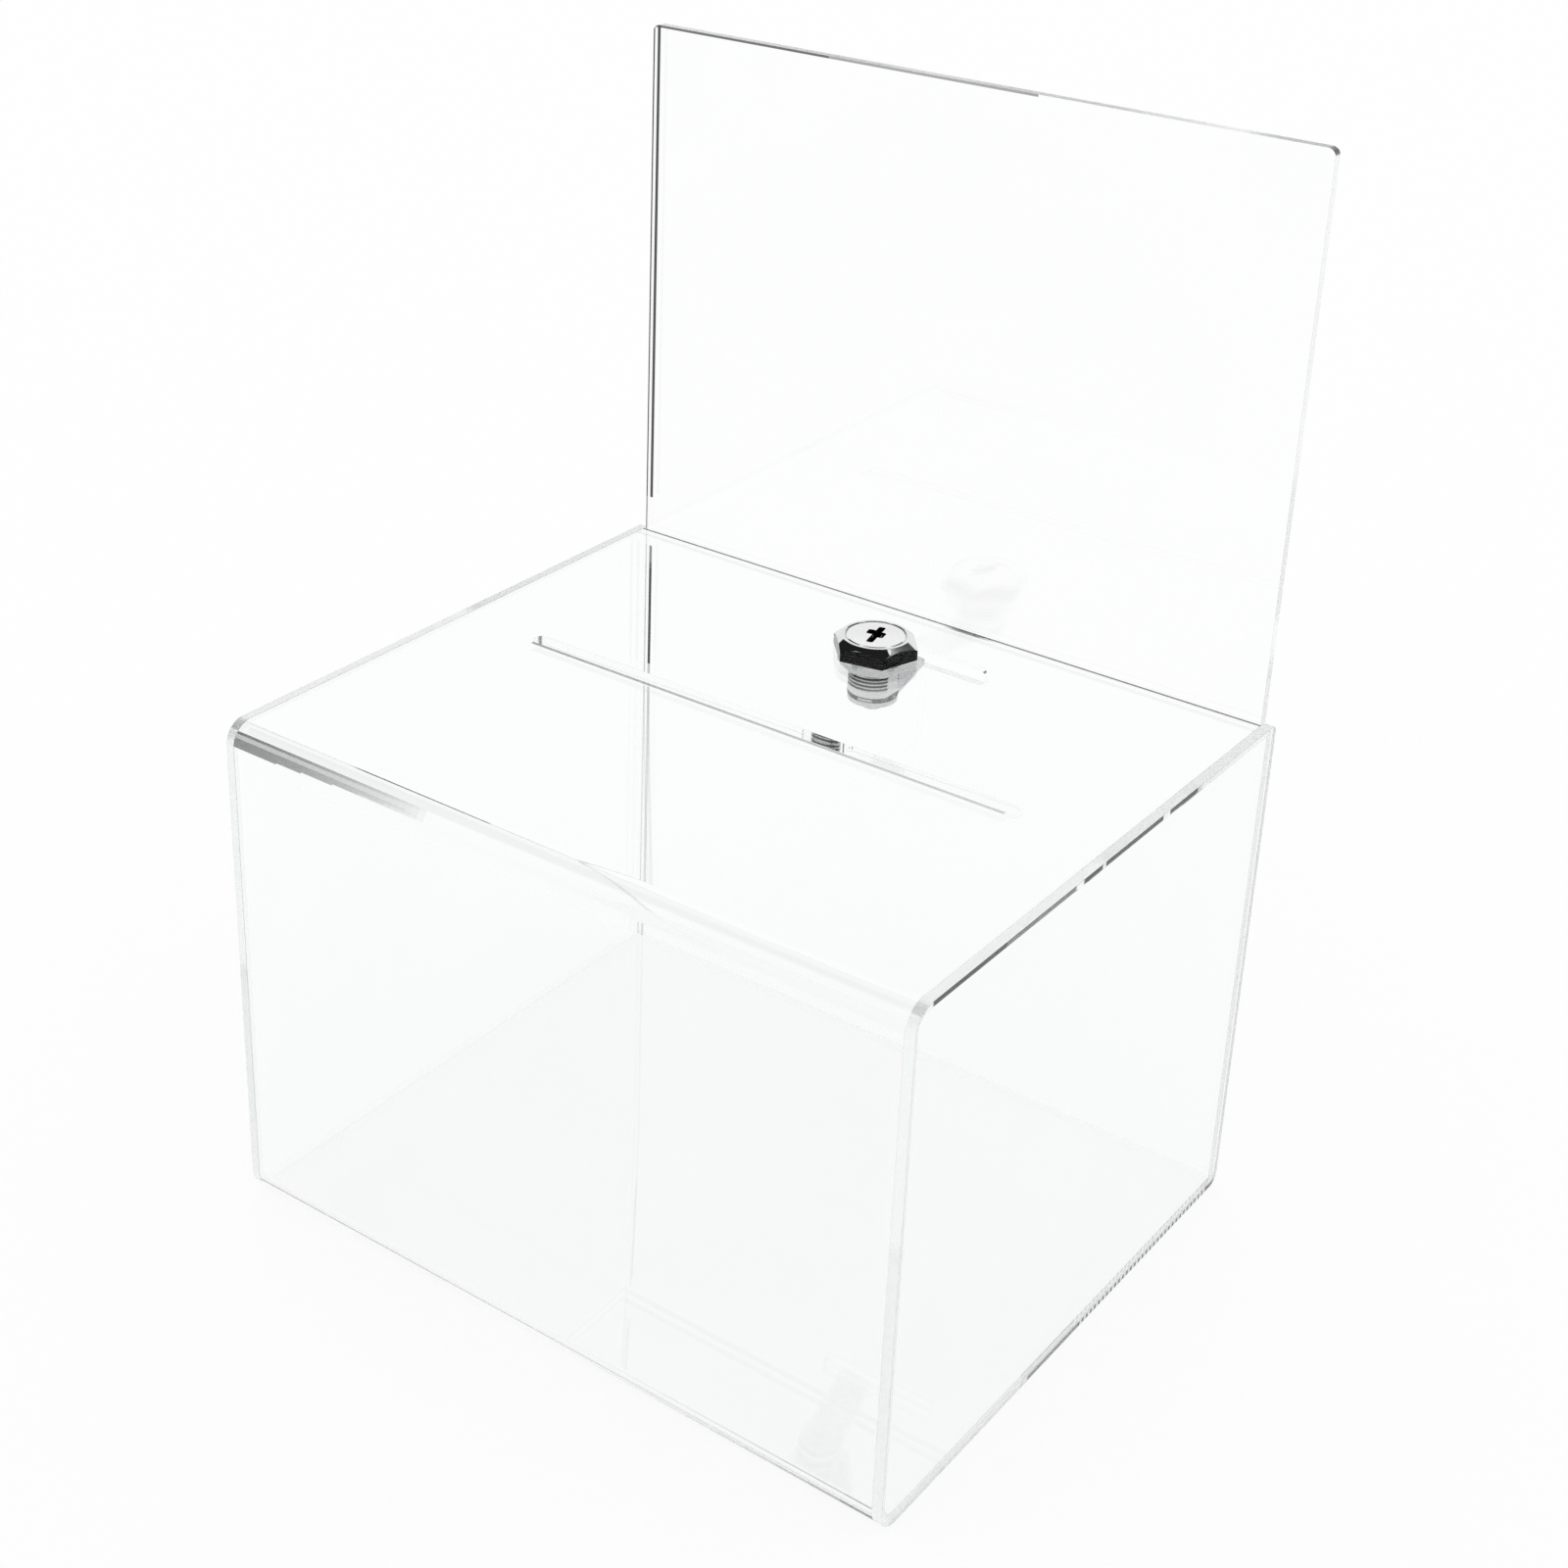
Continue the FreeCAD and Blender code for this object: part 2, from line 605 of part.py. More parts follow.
def make_cam():
    """Flat cam keyed to the tail; its slanted tip lies along the rear panel when it is turned clear."""
    body = new_body("cam")
    arm = sketch_on(body, "cam_arm", "XY_Plane", z=CAM_BOTTOM)
    draw_loop(arm, [(-8, 0), (8, 0), (8, 30), (-8, 34)])
    constrain(arm, "Horizontal", 0)
    constrain(arm, "Vertical", 1)
    constrain(arm, "Vertical", 3)
    constrain(arm, "Symmetric", 0, 1, 0, 2, -1, 1)
    measure(arm, "width", "DistanceX", 0, 1, 0, 2, 16, text="cam_width")
    measure(arm, "short_side", "DistanceY", 1, 1, 1, 2, 30,
            text=LOCKED_REACH + " - cam_width * tan(rest_turn)")
    measure(arm, "long_side", "DistanceY", 3, 2, 3, 1, 34, text=LOCKED_REACH)
    pad(body, arm, "cam_thickness")
    hub = sketch_on(body, "cam_hub", "XY_Plane", z=CAM_BOTTOM)
    draw_circle(hub, "cam_hub_radius")
    pad(body, hub, "cam_thickness")
    hole = sketch_on(body, "cam_hole", "XY_Plane", z=CAM_TOP)
    draw_double_flat(hole, "tail_radius + tail_fit", "tail_flats + 2 * tail_fit")
    pocket(body, hole, "cam_thickness")
    round_edges(body, "cam_tip", "cam_corner_radius",
                lambda edge: runs_along(edge, UP) and edge.CenterOfMass.y > 2 * sizes.cam_hub_radius)
    finish_in_lock(body, "lock_cam", turn="rest_turn")


def make_washer_and_screw():
    """Plain washer and pan head screw that clamp the cam to the tail."""
    disc = cylinder("washer_disc", "washer_radius", WASHER_BOTTOM, CAM_BOTTOM)
    hole = cylinder("washer_hole", "screw_radius + screw_fit", WASHER_BOTTOM + " - 1", CAM_BOTTOM + " + 1")
    finish_in_lock(cut("flat_washer", disc, hole), "cam_washer")
    head_low = WASHER_BOTTOM + " - screw_head_height"
    head = cylinder("screw_head", "screw_head_radius", head_low, WASHER_BOTTOM)
    shank = cylinder("screw_shank", "screw_radius - screw_fit", WASHER_BOTTOM + " - 1",
                     WASHER_BOTTOM + " + screw_length")
    recess_high = head_low + " + screw_recess_depth"
    below = head_low + " - 1"
    along = block("recess_along", "screw_recess_width", "screw_recess_length", below, recess_high)
    across = block("recess_across", "screw_recess_length", "screw_recess_width", below, recess_high)
    finish_in_lock(cut("pan_head_screw", fuse("screw_blank", head, shank), along, across), "cam_screw")


def check_document():
    """Stop before anything is written if a feature failed."""
    doc.recompute()
    for feature in doc.Objects:
        if "Invalid" in feature.State or "Error" in feature.State:
            raise RuntimeError(feature.Name + " failed")
    for node in nodes:
        if node.Shape.isNull() or not node.Shape.isValid() or len(node.Shape.Solids) != 1:
            raise RuntimeError(node.Label + " is not one valid solid")


make_wrap()
make_side("left_side_panel", "-box_width / 2")
make_side("right_side_panel", "box_width / 2 - sheet")
make_rear_panel()
make_lock_body()
make_nut()
make_plug()
make_wafers()
make_springs()
make_stop_washer()
make_cam()
make_washer_and_screw()
check_document()

os.makedirs("parts", exist_ok=True)
for node in nodes:
    node.Shape.exportStep(os.path.join("parts", node.Label + ".step"))
    print("%-18s %10.1f mm3" % (node.Label, node.Shape.Volume))
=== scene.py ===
import bpy
import bmesh
import math
from mathutils import Matrix, Vector


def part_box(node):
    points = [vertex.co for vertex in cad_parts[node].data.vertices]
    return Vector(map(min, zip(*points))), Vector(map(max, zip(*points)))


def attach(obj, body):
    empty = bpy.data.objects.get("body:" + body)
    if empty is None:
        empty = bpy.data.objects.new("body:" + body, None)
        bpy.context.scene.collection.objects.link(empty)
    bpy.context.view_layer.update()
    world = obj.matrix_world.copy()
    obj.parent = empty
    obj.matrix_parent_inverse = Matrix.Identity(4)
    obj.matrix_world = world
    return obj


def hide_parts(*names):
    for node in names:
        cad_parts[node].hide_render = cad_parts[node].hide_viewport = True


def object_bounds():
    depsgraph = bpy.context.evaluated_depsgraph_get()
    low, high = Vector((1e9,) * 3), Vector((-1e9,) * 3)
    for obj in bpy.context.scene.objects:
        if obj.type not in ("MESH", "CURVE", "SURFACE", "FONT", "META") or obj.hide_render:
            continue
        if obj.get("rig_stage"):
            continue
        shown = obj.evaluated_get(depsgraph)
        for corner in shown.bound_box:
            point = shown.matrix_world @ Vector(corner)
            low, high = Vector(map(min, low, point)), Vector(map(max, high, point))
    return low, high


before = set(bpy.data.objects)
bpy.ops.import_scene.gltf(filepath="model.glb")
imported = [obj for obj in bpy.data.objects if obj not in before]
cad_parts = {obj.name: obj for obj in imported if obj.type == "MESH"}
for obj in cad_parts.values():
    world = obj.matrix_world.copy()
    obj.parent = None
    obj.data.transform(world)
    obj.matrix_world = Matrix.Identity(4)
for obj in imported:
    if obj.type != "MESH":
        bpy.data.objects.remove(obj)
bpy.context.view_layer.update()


# Wrap sheet
# One sheet of clear cast acrylic, sawn to size and bent twice over a hot wire, so that the top, the front and
# the bottom are one piece. The money slot, the lock's hole and the rear groove are routed before it is bent.

wrap_low, wrap_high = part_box("wrap_sheet")
left_low, left_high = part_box("left_side_panel")
panel_low, panel_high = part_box("rear_panel")
sheet = left_high.x - left_low.x
cement_line = 0.00002
bend_inner_radius = 0.005
bend_steps = 28
top_rear_gap = 0.0003
slot_length = 0.217
slot_width = 0.0065
slot_corner_radius = 0.0025
slot_y = wrap_high.y - 0.1175
lock_y = wrap_high.y - 0.0435
barrel_radius = 0.010
barrel_flats = 0.018
hole_clearance = 0.0003
tongue_thickness = 0.0019
tongue_length = 0.0018
tongue_clearance = 0.00015
eased_edge = 0.00018


def node(tree, kind, inputs=None, **settings):
    """Add one node and set its own settings and plain inputs."""
    made = tree.nodes.new(kind)
    for name, value in settings.items():
        setattr(made, name, value)
    for name, value in (inputs or {}).items():
        made.inputs[name].default_value = value
    return made


def add_sockets(tree, in_out, **kinds):
    """Named sockets of a node group; a double underscore in a name stands for a space."""
    for name, kind in kinds.items():
        tree.interface.new_socket(name.replace("__", " "), in_out=in_out, socket_type="NodeSocket" + kind)


def bent_sheet_tree():
    """Rounds the corners of a path and sweeps a flat sheet's section along it."""
    tree = bpy.data.node_groups.new("bent_sheet", "GeometryNodeTree")
    add_sockets(tree, "INPUT", Path="Geometry", Width="Float", Thickness="Float", Bend__Radius="Float",
                Bend__Steps="Int", Finish="Material")
    add_sockets(tree, "OUTPUT", Sheet="Geometry")
    start = node(tree, "NodeGroupInput")
    path = node(tree, "GeometryNodeMeshToCurve")
    bends = node(tree, "GeometryNodeFilletCurve", {"Limit Radius": False}, mode="POLY")
    section = node(tree, "GeometryNodeCurvePrimitiveQuadrilateral")
    sweep = node(tree, "GeometryNodeCurveToMesh", {"Fill Caps": True})
    plain = node(tree, "GeometryNodeRealizeInstances")
    finish = node(tree, "GeometryNodeSetMaterial")
    end = node(tree, "NodeGroupOutput")
    link = tree.links.new
    link(start.outputs["Path"], path.inputs["Mesh"])
    link(path.outputs["Curve"], bends.inputs["Curve"])
    link(start.outputs["Bend Radius"], bends.inputs["Radius"])
    link(start.outputs["Bend Steps"], bends.inputs["Count"])
    link(start.outputs["Width"], section.inputs["Width"])
    link(start.outputs["Thickness"], section.inputs["Height"])
    link(bends.outputs["Curve"], sweep.inputs["Curve"])
    link(section.outputs["Curve"], sweep.inputs["Profile Curve"])
    link(sweep.outputs["Mesh"], plain.inputs["Geometry"])
    link(plain.outputs["Geometry"], finish.inputs["Geometry"])
    link(start.outputs["Finish"], finish.inputs["Material"])
    link(finish.outputs["Geometry"], end.inputs["Sheet"])
    return tree


def grow(obj, tree, values):
    """Put a node tree on an object and set its named inputs."""
    modifier = obj.modifiers.new(tree.name, "NODES")
    modifier.node_group = tree
    for item in tree.interface.items_tree:
        if item.item_type == "SOCKET" and item.in_out == "INPUT" and item.name in values:
            modifier[item.identifier] = values[item.name]


def settle(obj):
    """Turn what the modifiers make into the object's own plain mesh."""
    bpy.context.view_layer.update()
    shape = obj.evaluated_get(bpy.context.evaluated_depsgraph_get())
    mesh = bpy.data.meshes.new_from_object(shape)
    obj.modifiers.clear()
    obj.data = mesh


def mesh_object(name, points, edges=(), faces=()):
    """A new object in the scene from its points."""
    mesh = bpy.data.meshes.new(name)
    mesh.from_pydata([tuple(point) for point in points], edges, faces)
    obj = bpy.data.objects.new(name, mesh)
    bpy.context.scene.collection.objects.link(obj)
    return obj


def face_outwards(obj):
    """Join doubled points and turn every face of a closed skin outwards."""
    join_distance = 1e-7
    skin = bmesh.new()
    skin.from_mesh(obj.data)
    bmesh.ops.remove_doubles(skin, verts=skin.verts, dist=join_distance)
    bmesh.ops.recalc_face_normals(skin, faces=skin.faces)
    skin.to_mesh(obj.data)
    skin.free()


def prism(name, outline, low, high, along):
    """A straight prism over a flat outline; along is the axis that it runs in."""
    place = {
        "x": lambda u, v, w: (w, u, v),
        "y": lambda u, v, w: (u, w, v),
        "z": lambda u, v, w: (u, v, w),
    }[along]
    count = len(outline)
    points = [place(u, v, level) for level in (low, high) for u, v in outline]
    faces = [tuple(range(count)), tuple(range(count, 2 * count))]
    faces += [(i, (i + 1) % count, count + (i + 1) % count, count + i) for i in range(count)]
    obj = mesh_object(name, points, faces=faces)
    face_outwards(obj)
    return obj


def rounded(corners, steps=14):
    """An outline through corners given as (u, v, radius), with an arc at each corner that has a radius."""
    points = []
    for index, (u, v, radius) in enumerate(corners):
        corner = Vector((u, v))
        back = (Vector(corners[index - 1][:2]) - corner).normalized()
        onward = (Vector(corners[(index + 1) % len(corners)][:2]) - corner).normalized()
        if radius == 0:
            points.append(tuple(corner))
            continue
        half = back.angle(onward) / 2
        centre = corner + (back + onward).normalized() * radius / math.sin(half)
        spoke = corner + back * radius / math.tan(half) - centre
        turn = math.copysign(math.pi - 2 * half, onward.cross(back))
        for step in range(steps + 1):
            points.append(tuple(centre + Matrix.Rotation(turn * step / steps, 2) @ spoke))
    return points


def rectangle(u, v, width, height, radius=0):
    """The outline of a rectangle about a point, counted anticlockwise."""
    return rounded([(u - width / 2, v - height / 2, radius), (u + width / 2, v - height / 2, radius),
                    (u + width / 2, v + height / 2, radius), (u - width / 2, v + height / 2, radius)])


def double_flat(u, v, radius, flats, steps=32):
    """The outline of a round hole with a flat on its left and its right."""
    corner = math.acos(flats / 2 / radius)
    sweep = math.pi - 2 * corner
    angles = [corner + side * math.pi + sweep * step / steps for side in (0, 1) for step in range(steps + 1)]
    return [(u + radius * math.cos(angle), v + radius * math.sin(angle)) for angle in angles]


def cut_out(obj, cutter):
    """Take one solid out of another."""
    modifier = obj.modifiers.new(cutter.name, "BOOLEAN")
    modifier.operation = "DIFFERENCE"
    modifier.solver = "EXACT"
    modifier.object = cutter
    settle(obj)
    bpy.data.objects.remove(cutter)


def ease_edges(obj, width, sharp=math.radians(32), segments=2):
    """Round every sharp edge a little, and keep flat faces flat to the light."""
    for polygon in obj.data.polygons:
        polygon.use_smooth = True
    obj.data.set_sharp_from_angle(angle=sharp)
    bevel = obj.modifiers.new("eased_edges", "BEVEL")
    bevel.width = width
    bevel.segments = segments
    bevel.limit_method = "ANGLE"
    bevel.angle_limit = sharp
    bevel.harden_normals = True
    bevel.use_clamp_overlap = True
    settle(obj)


def mark_faces(obj, name, amount):
    """Store a named amount from 0 to 1 on every face, for the material to read."""
    marks = obj.data.attributes.new(name, "FLOAT", "FACE")
    for polygon, mark in zip(obj.data.polygons, marks.data):
        mark.value = amount(polygon.center, polygon.normal)


def split_faces(obj, axis, places):
    """Cut the skin across one axis at each place, so that marks can change there, and join close points."""
    join_distance = 6e-5
    skin = bmesh.new()
    skin.from_mesh(obj.data)
    across = Vector([float(name == axis) for name in "xyz"])
    for place in places:
        everything = skin.verts[:] + skin.edges[:] + skin.faces[:]
        bmesh.ops.bisect_plane(skin, geom=everything, plane_co=across * place, plane_no=across)
    bmesh.ops.remove_doubles(skin, verts=skin.verts, dist=join_distance)
    skin.to_mesh(obj.data)
    skin.free()


def tool_marks_group():
    """Ridges that a saw or router leaves across a cut face, with a finer tremor."""
    tree = bpy.data.node_groups.new("tool_marks", "ShaderNodeTree")
    add_sockets(tree, "INPUT", Position="Vector", Pitch="Float")
    add_sockets(tree, "OUTPUT", Height="Float", Roughness="Float")
    start = node(tree, "NodeGroupInput")
    end = node(tree, "NodeGroupOutput")
    split = node(tree, "ShaderNodeSeparateXYZ")
    first = node(tree, "ShaderNodeMath", operation="ADD")
    along = node(tree, "ShaderNodeMath", operation="ADD")
    count = node(tree, "ShaderNodeMath", operation="DIVIDE")
    ridges = node(tree, "ShaderNodeTexNoise", {"Scale": 1.0, "Detail": 3.0, "Roughness": 0.6},
                  noise_dimensions="1D")
    grain = node(tree, "ShaderNodeTexNoise", {"Scale": 2600.0, "Detail": 2.0})
    mix = node(tree, "ShaderNodeMix", {"Factor": 0.25}, data_type="FLOAT")
    gloss = node(tree, "ShaderNodeMapRange",
                 {"From Min": 0.3, "From Max": 0.75, "To Min": 0.05, "To Max": 0.32})
    link = tree.links.new
    link(start.outputs["Position"], split.inputs[0])
    link(split.outputs["X"], first.inputs[0])
    link(split.outputs["Y"], first.inputs[1])
    link(first.outputs[0], along.inputs[0])
    link(split.outputs["Z"], along.inputs[1])
    link(along.outputs[0], count.inputs[0])
    link(start.outputs["Pitch"], count.inputs[1])
    link(count.outputs[0], ridges.inputs["W"])
    link(start.outputs["Position"], grain.inputs["Vector"])
    link(ridges.outputs["Fac"], mix.inputs["A"])
    link(grain.outputs["Fac"], mix.inputs["B"])
    link(mix.outputs["Result"], gloss.inputs["Value"])
    link(mix.outputs["Result"], end.inputs["Height"])
    link(gloss.outputs["Result"], end.inputs["Roughness"])
    return tree


def handling_group():
    """Faint wiping smears and fine hairlines that a handled, polished face picks up."""
    tree = bpy.data.node_groups.new("handling", "ShaderNodeTree")
    add_sockets(tree, "INPUT", Position="Vector")
    add_sockets(tree, "OUTPUT", Smear="Float", Hairlines="Float")
    start = node(tree, "NodeGroupInput")
    end = node(tree, "NodeGroupOutput")
    cloud = node(tree, "ShaderNodeTexNoise",
                 {"Scale": 14.0, "Detail": 5.0, "Roughness": 0.65, "Distortion": 0.6})
    smear = node(tree, "ShaderNodeMapRange", {"From Min": 0.45, "From Max": 0.8})
    turn = node(tree, "ShaderNodeMapping", {"Rotation": (0.5, 0.7, 0.3), "Scale": (3.0, 160.0, 160.0)})
    streak = node(tree, "ShaderNodeTexNoise", {"Scale": 6.0, "Detail": 3.0, "Roughness": 0.7})
    hairlines = node(tree, "ShaderNodeMapRange", {"From Min": 0.62, "From Max": 0.72})
    link = tree.links.new
    link(start.outputs["Position"], cloud.inputs["Vector"])
    link(cloud.outputs["Fac"], smear.inputs["Value"])
    link(start.outputs["Position"], turn.inputs["Vector"])
    link(turn.outputs["Vector"], streak.inputs["Vector"])
    link(streak.outputs["Fac"], hairlines.inputs["Value"])
    link(smear.outputs["Result"], end.inputs["Smear"])
    link(hairlines.outputs["Result"], end.inputs["Hairlines"])
    return tree


tool_marks = tool_marks_group()
handling = handling_group()


def new_material(name):
    """A material with an empty tree but for its output and one Principled shader."""
    material = bpy.data.materials.new(name)
    material.use_nodes = True
    tree = material.node_tree
    return material, tree, tree.nodes["Principled BSDF"]


def acrylic(name, cut_pitch, cut_depth):
    """Clear acrylic: polished faces with faint handling marks, cut faces with tool marks, and dark lines
    painted in as dark reflections.
    """
    face_tint = (0.992, 0.997, 0.995, 1.0)
    smear_tint = (0.985, 0.991, 0.989, 1.0)
    cut_tint = (0.90, 0.945, 0.93, 1.0)
    painted_reflection_colour = (0.003, 0.0035, 0.003, 1.0)
    material, tree, shader = new_material(name)
    shader.inputs["IOR"].default_value = 1.491
    shader.inputs["Transmission Weight"].default_value = 1.0
    shader.inputs["Metallic"].default_value = 0.0
    place = node(tree, "ShaderNodeTexCoord")
    cut = node(tree, "ShaderNodeAttribute", attribute_name="cut_face")
    marks = node(tree, "ShaderNodeGroup", node_tree=tool_marks)
    marks.inputs["Pitch"].default_value = cut_pitch
    wear = node(tree, "ShaderNodeGroup", node_tree=handling)
    face = node(tree, "ShaderNodeMix", {"A": face_tint, "B": smear_tint}, data_type="RGBA")
    colour = node(tree, "ShaderNodeMix", {"B": cut_tint}, data_type="RGBA")
    # Marked faces are painted near black, as painted dark reflections in the edges.
    line = node(tree, "ShaderNodeAttribute", attribute_name="painted_reflection_line")
    lined = node(tree, "ShaderNodeMix", {"B": painted_reflection_colour}, data_type="RGBA")
    polish = node(tree, "ShaderNodeMapRange", {"To Min": 0.0, "To Max": 0.012})
    gloss = node(tree, "ShaderNodeMix", data_type="FLOAT")
    relief = node(tree, "ShaderNodeMath", operation="MULTIPLY")
    bump = node(tree, "ShaderNodeBump", {"Strength": 1.0, "Distance": cut_depth})
    link = tree.links.new
    link(place.outputs["Object"], marks.inputs["Position"])
    link(place.outputs["Object"], wear.inputs["Position"])
    link(wear.outputs["Smear"], face.inputs["Factor"])
    link(face.outputs["Result"], colour.inputs["A"])
    link(cut.outputs["Fac"], colour.inputs["Factor"])
    link(colour.outputs["Result"], lined.inputs["A"])
    link(line.outputs["Fac"], lined.inputs["Factor"])
    link(lined.outputs["Result"], shader.inputs["Base Color"])
    link(wear.outputs["Hairlines"], polish.inputs["Value"])
    link(polish.outputs["Result"], gloss.inputs["A"])
    link(marks.outputs["Roughness"], gloss.inputs["B"])
    link(cut.outputs["Fac"], gloss.inputs["Factor"])
    link(gloss.outputs["Result"], shader.inputs["Roughness"])
    link(marks.outputs["Height"], relief.inputs[0])
    link(cut.outputs["Fac"], relief.inputs[1])
    link(relief.outputs[0], bump.inputs["Height"])
    link(bump.outputs["Normal"], shader.inputs["Normal"])
    return material


bent_acrylic = acrylic("bent_acrylic", cut_pitch=0.0011, cut_depth=0.00005)
middle = sheet / 2
wrap_path = [
    (0, panel_low.y - top_rear_gap, wrap_high.z - middle),
    (0, wrap_low.y + middle, wrap_high.z - middle),
    (0, wrap_low.y + middle, wrap_low.z + middle),
    (0, wrap_high.y, wrap_low.z + middle),
]
wrap = mesh_object("bent_wrap_sheet", wrap_path, edges=[(0, 1), (1, 2), (2, 3)])
grow(wrap, bent_sheet_tree(), {
    "Width": wrap_high.x - wrap_low.x - 2 * cement_line,
    "Thickness": sheet,
    "Bend Radius": bend_inner_radius + middle,
    "Bend Steps": bend_steps,
    "Finish": bent_acrylic,
})
settle(wrap)
face_outwards(wrap)
above, below = wrap_high.z + sheet, wrap_high.z - 2 * sheet
slot = rectangle(0, slot_y, slot_length, slot_width, slot_corner_radius)
cut_out(wrap, prism("money_slot", slot, below, above, "z"))
hole = double_flat(0, lock_y, barrel_radius + hole_clearance, barrel_flats + 2 * hole_clearance)
cut_out(wrap, prism("lock_hole", hole, below, above, "z"))
groove = rectangle(panel_low.y + tongue_thickness / 2, sheet, tongue_thickness + 2 * tongue_clearance,
                   2 * (tongue_length + tongue_clearance))
cut_out(wrap, prism("tongue_groove", groove, wrap_low.x - sheet, wrap_high.x + sheet, "x"))
# Where the painted dark reflections on the wrap lie, and the cuts that let them start and stop.
joint_y = panel_low.y - top_rear_gap
joint_line = 0.0012
slot_front = slot_y - slot_width / 2
rim_line = 0.0016
foot_line_length = 0.155
band_length = 0.092
band_steps = 30
rest_length = wrap_high.x - wrap_low.x - band_length
rest_steps = 15
split_faces(wrap, "y", [joint_y - joint_line, slot_front - rim_line])
split_faces(wrap, "x", [wrap_low.x + band_length * step / band_steps for step in range(1, band_steps + 1)])
split_faces(wrap, "x", [wrap_high.x - rest_length * step / rest_steps for step in range(1, rest_steps)])
ease_edges(wrap, eased_edge)


def wrap_is_cut(centre, normal):
    """How sawn a face looks: the ends, the rear edges, the groove, and the walls of the slot and the hole."""
    sawn_end, sawn_rear, routed = 0.35, 0.2, 0.06
    if abs(normal.x) > 0.3 and abs(centre.x) > wrap_high.x - sheet:
        return sawn_end
    if abs(normal.y) > 0.3 and centre.y > panel_low.y - sheet:
        return sawn_rear
    in_openings = abs(centre.x) < slot_length / 2 + sheet and centre.y > slot_y - sheet and centre.z > below
    return routed if in_openings and abs(normal.z) < 0.5 else 0.0


# Painted dark reflections: the edges and bends get near-black lines and a fading band that stand for dark
# reflections of the surroundings.
def wrap_painted_reflections(centre, normal):
    """How dark a face is painted, where the photo shows dark lines: the joint with the rear panel, the slot's
    front rim, the bottom bend towards the right, and a band in the top bend's left end."""
    joint_dark = 0.97
    rim_dark, rim_change = 0.75, 0.3
    foot_dark, foot_from, foot_to, foot_fade = 0.99, 16, 38, 1.5
    edge_dark, edge_from, edge_to = 0.96, 46, 53
    band_dark, band_from, band_to = 0.93, 60, 87
    from_change, to_change = 3, -22
    fringe_dark, fringe_to = 0.7, 75
    near_top = centre.z > wrap_high.z - sheet / 2
    if near_top and joint_y - joint_line < centre.y < panel_low.y:
        return joint_dark if normal.z > 0.1 else 0.0
    on_rim = near_top and slot_front - rim_line < centre.y < slot_front + eased_edge and normal.z > 0.3
    if on_rim and abs(centre.x) < slot_length / 2 - slot_corner_radius / 2:
        return rim_dark - rim_change * centre.x / slot_length
    low_bend = math.degrees(math.atan2(-normal.z, -normal.y))
    at_foot = centre.z < wrap_low.z + 2 * sheet and centre.y < wrap_low.y + 3 * sheet
    if at_foot and foot_from < low_bend < foot_to:
        return foot_dark * max(0.0, 1 - (wrap_high.x - centre.x) / foot_line_length) ** foot_fade
    along = (centre.x - wrap_low.x) / band_length
    bend = math.degrees(math.atan2(-normal.y, normal.z))
    outside = centre.y < wrap_low.y + sheet and centre.z > wrap_high.z - 2 * sheet and normal.y < 0
    if not outside or along > 1 or abs(normal.x) > 0.3:
        return 0.0
    fade = (1 - along ** 2) ** 0.5
    if edge_from < bend < edge_to:
        return edge_dark * fade
    if band_from + from_change * along < bend < band_to + to_change * along:
        return band_dark * fade
    return fringe_dark * fade if edge_to <= bend < fringe_to else 0.0


mark_faces(wrap, "cut_face", wrap_is_cut)
mark_faces(wrap, "painted_reflection_line", wrap_painted_reflections)
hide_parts("wrap_sheet")
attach(wrap, "box")


# Side panels
# Flat clear acrylic, sawn to the outline of the bent wrap and cemented on its two ends.

bend_outer_radius = bend_inner_radius + sheet
rear_top_radius = 0.003
rear_bottom_radius = 0.006
sawn_acrylic = acrylic("sawn_acrylic", cut_pitch=0.0016, cut_depth=0.00012)
side_outline = rounded([
    (left_low.y, left_low.z, bend_outer_radius),
    (left_high.y, left_low.z, rear_bottom_radius),
    (left_high.y, left_high.z, rear_top_radius),
    (left_low.y, left_high.z, bend_outer_radius),
], steps=24)
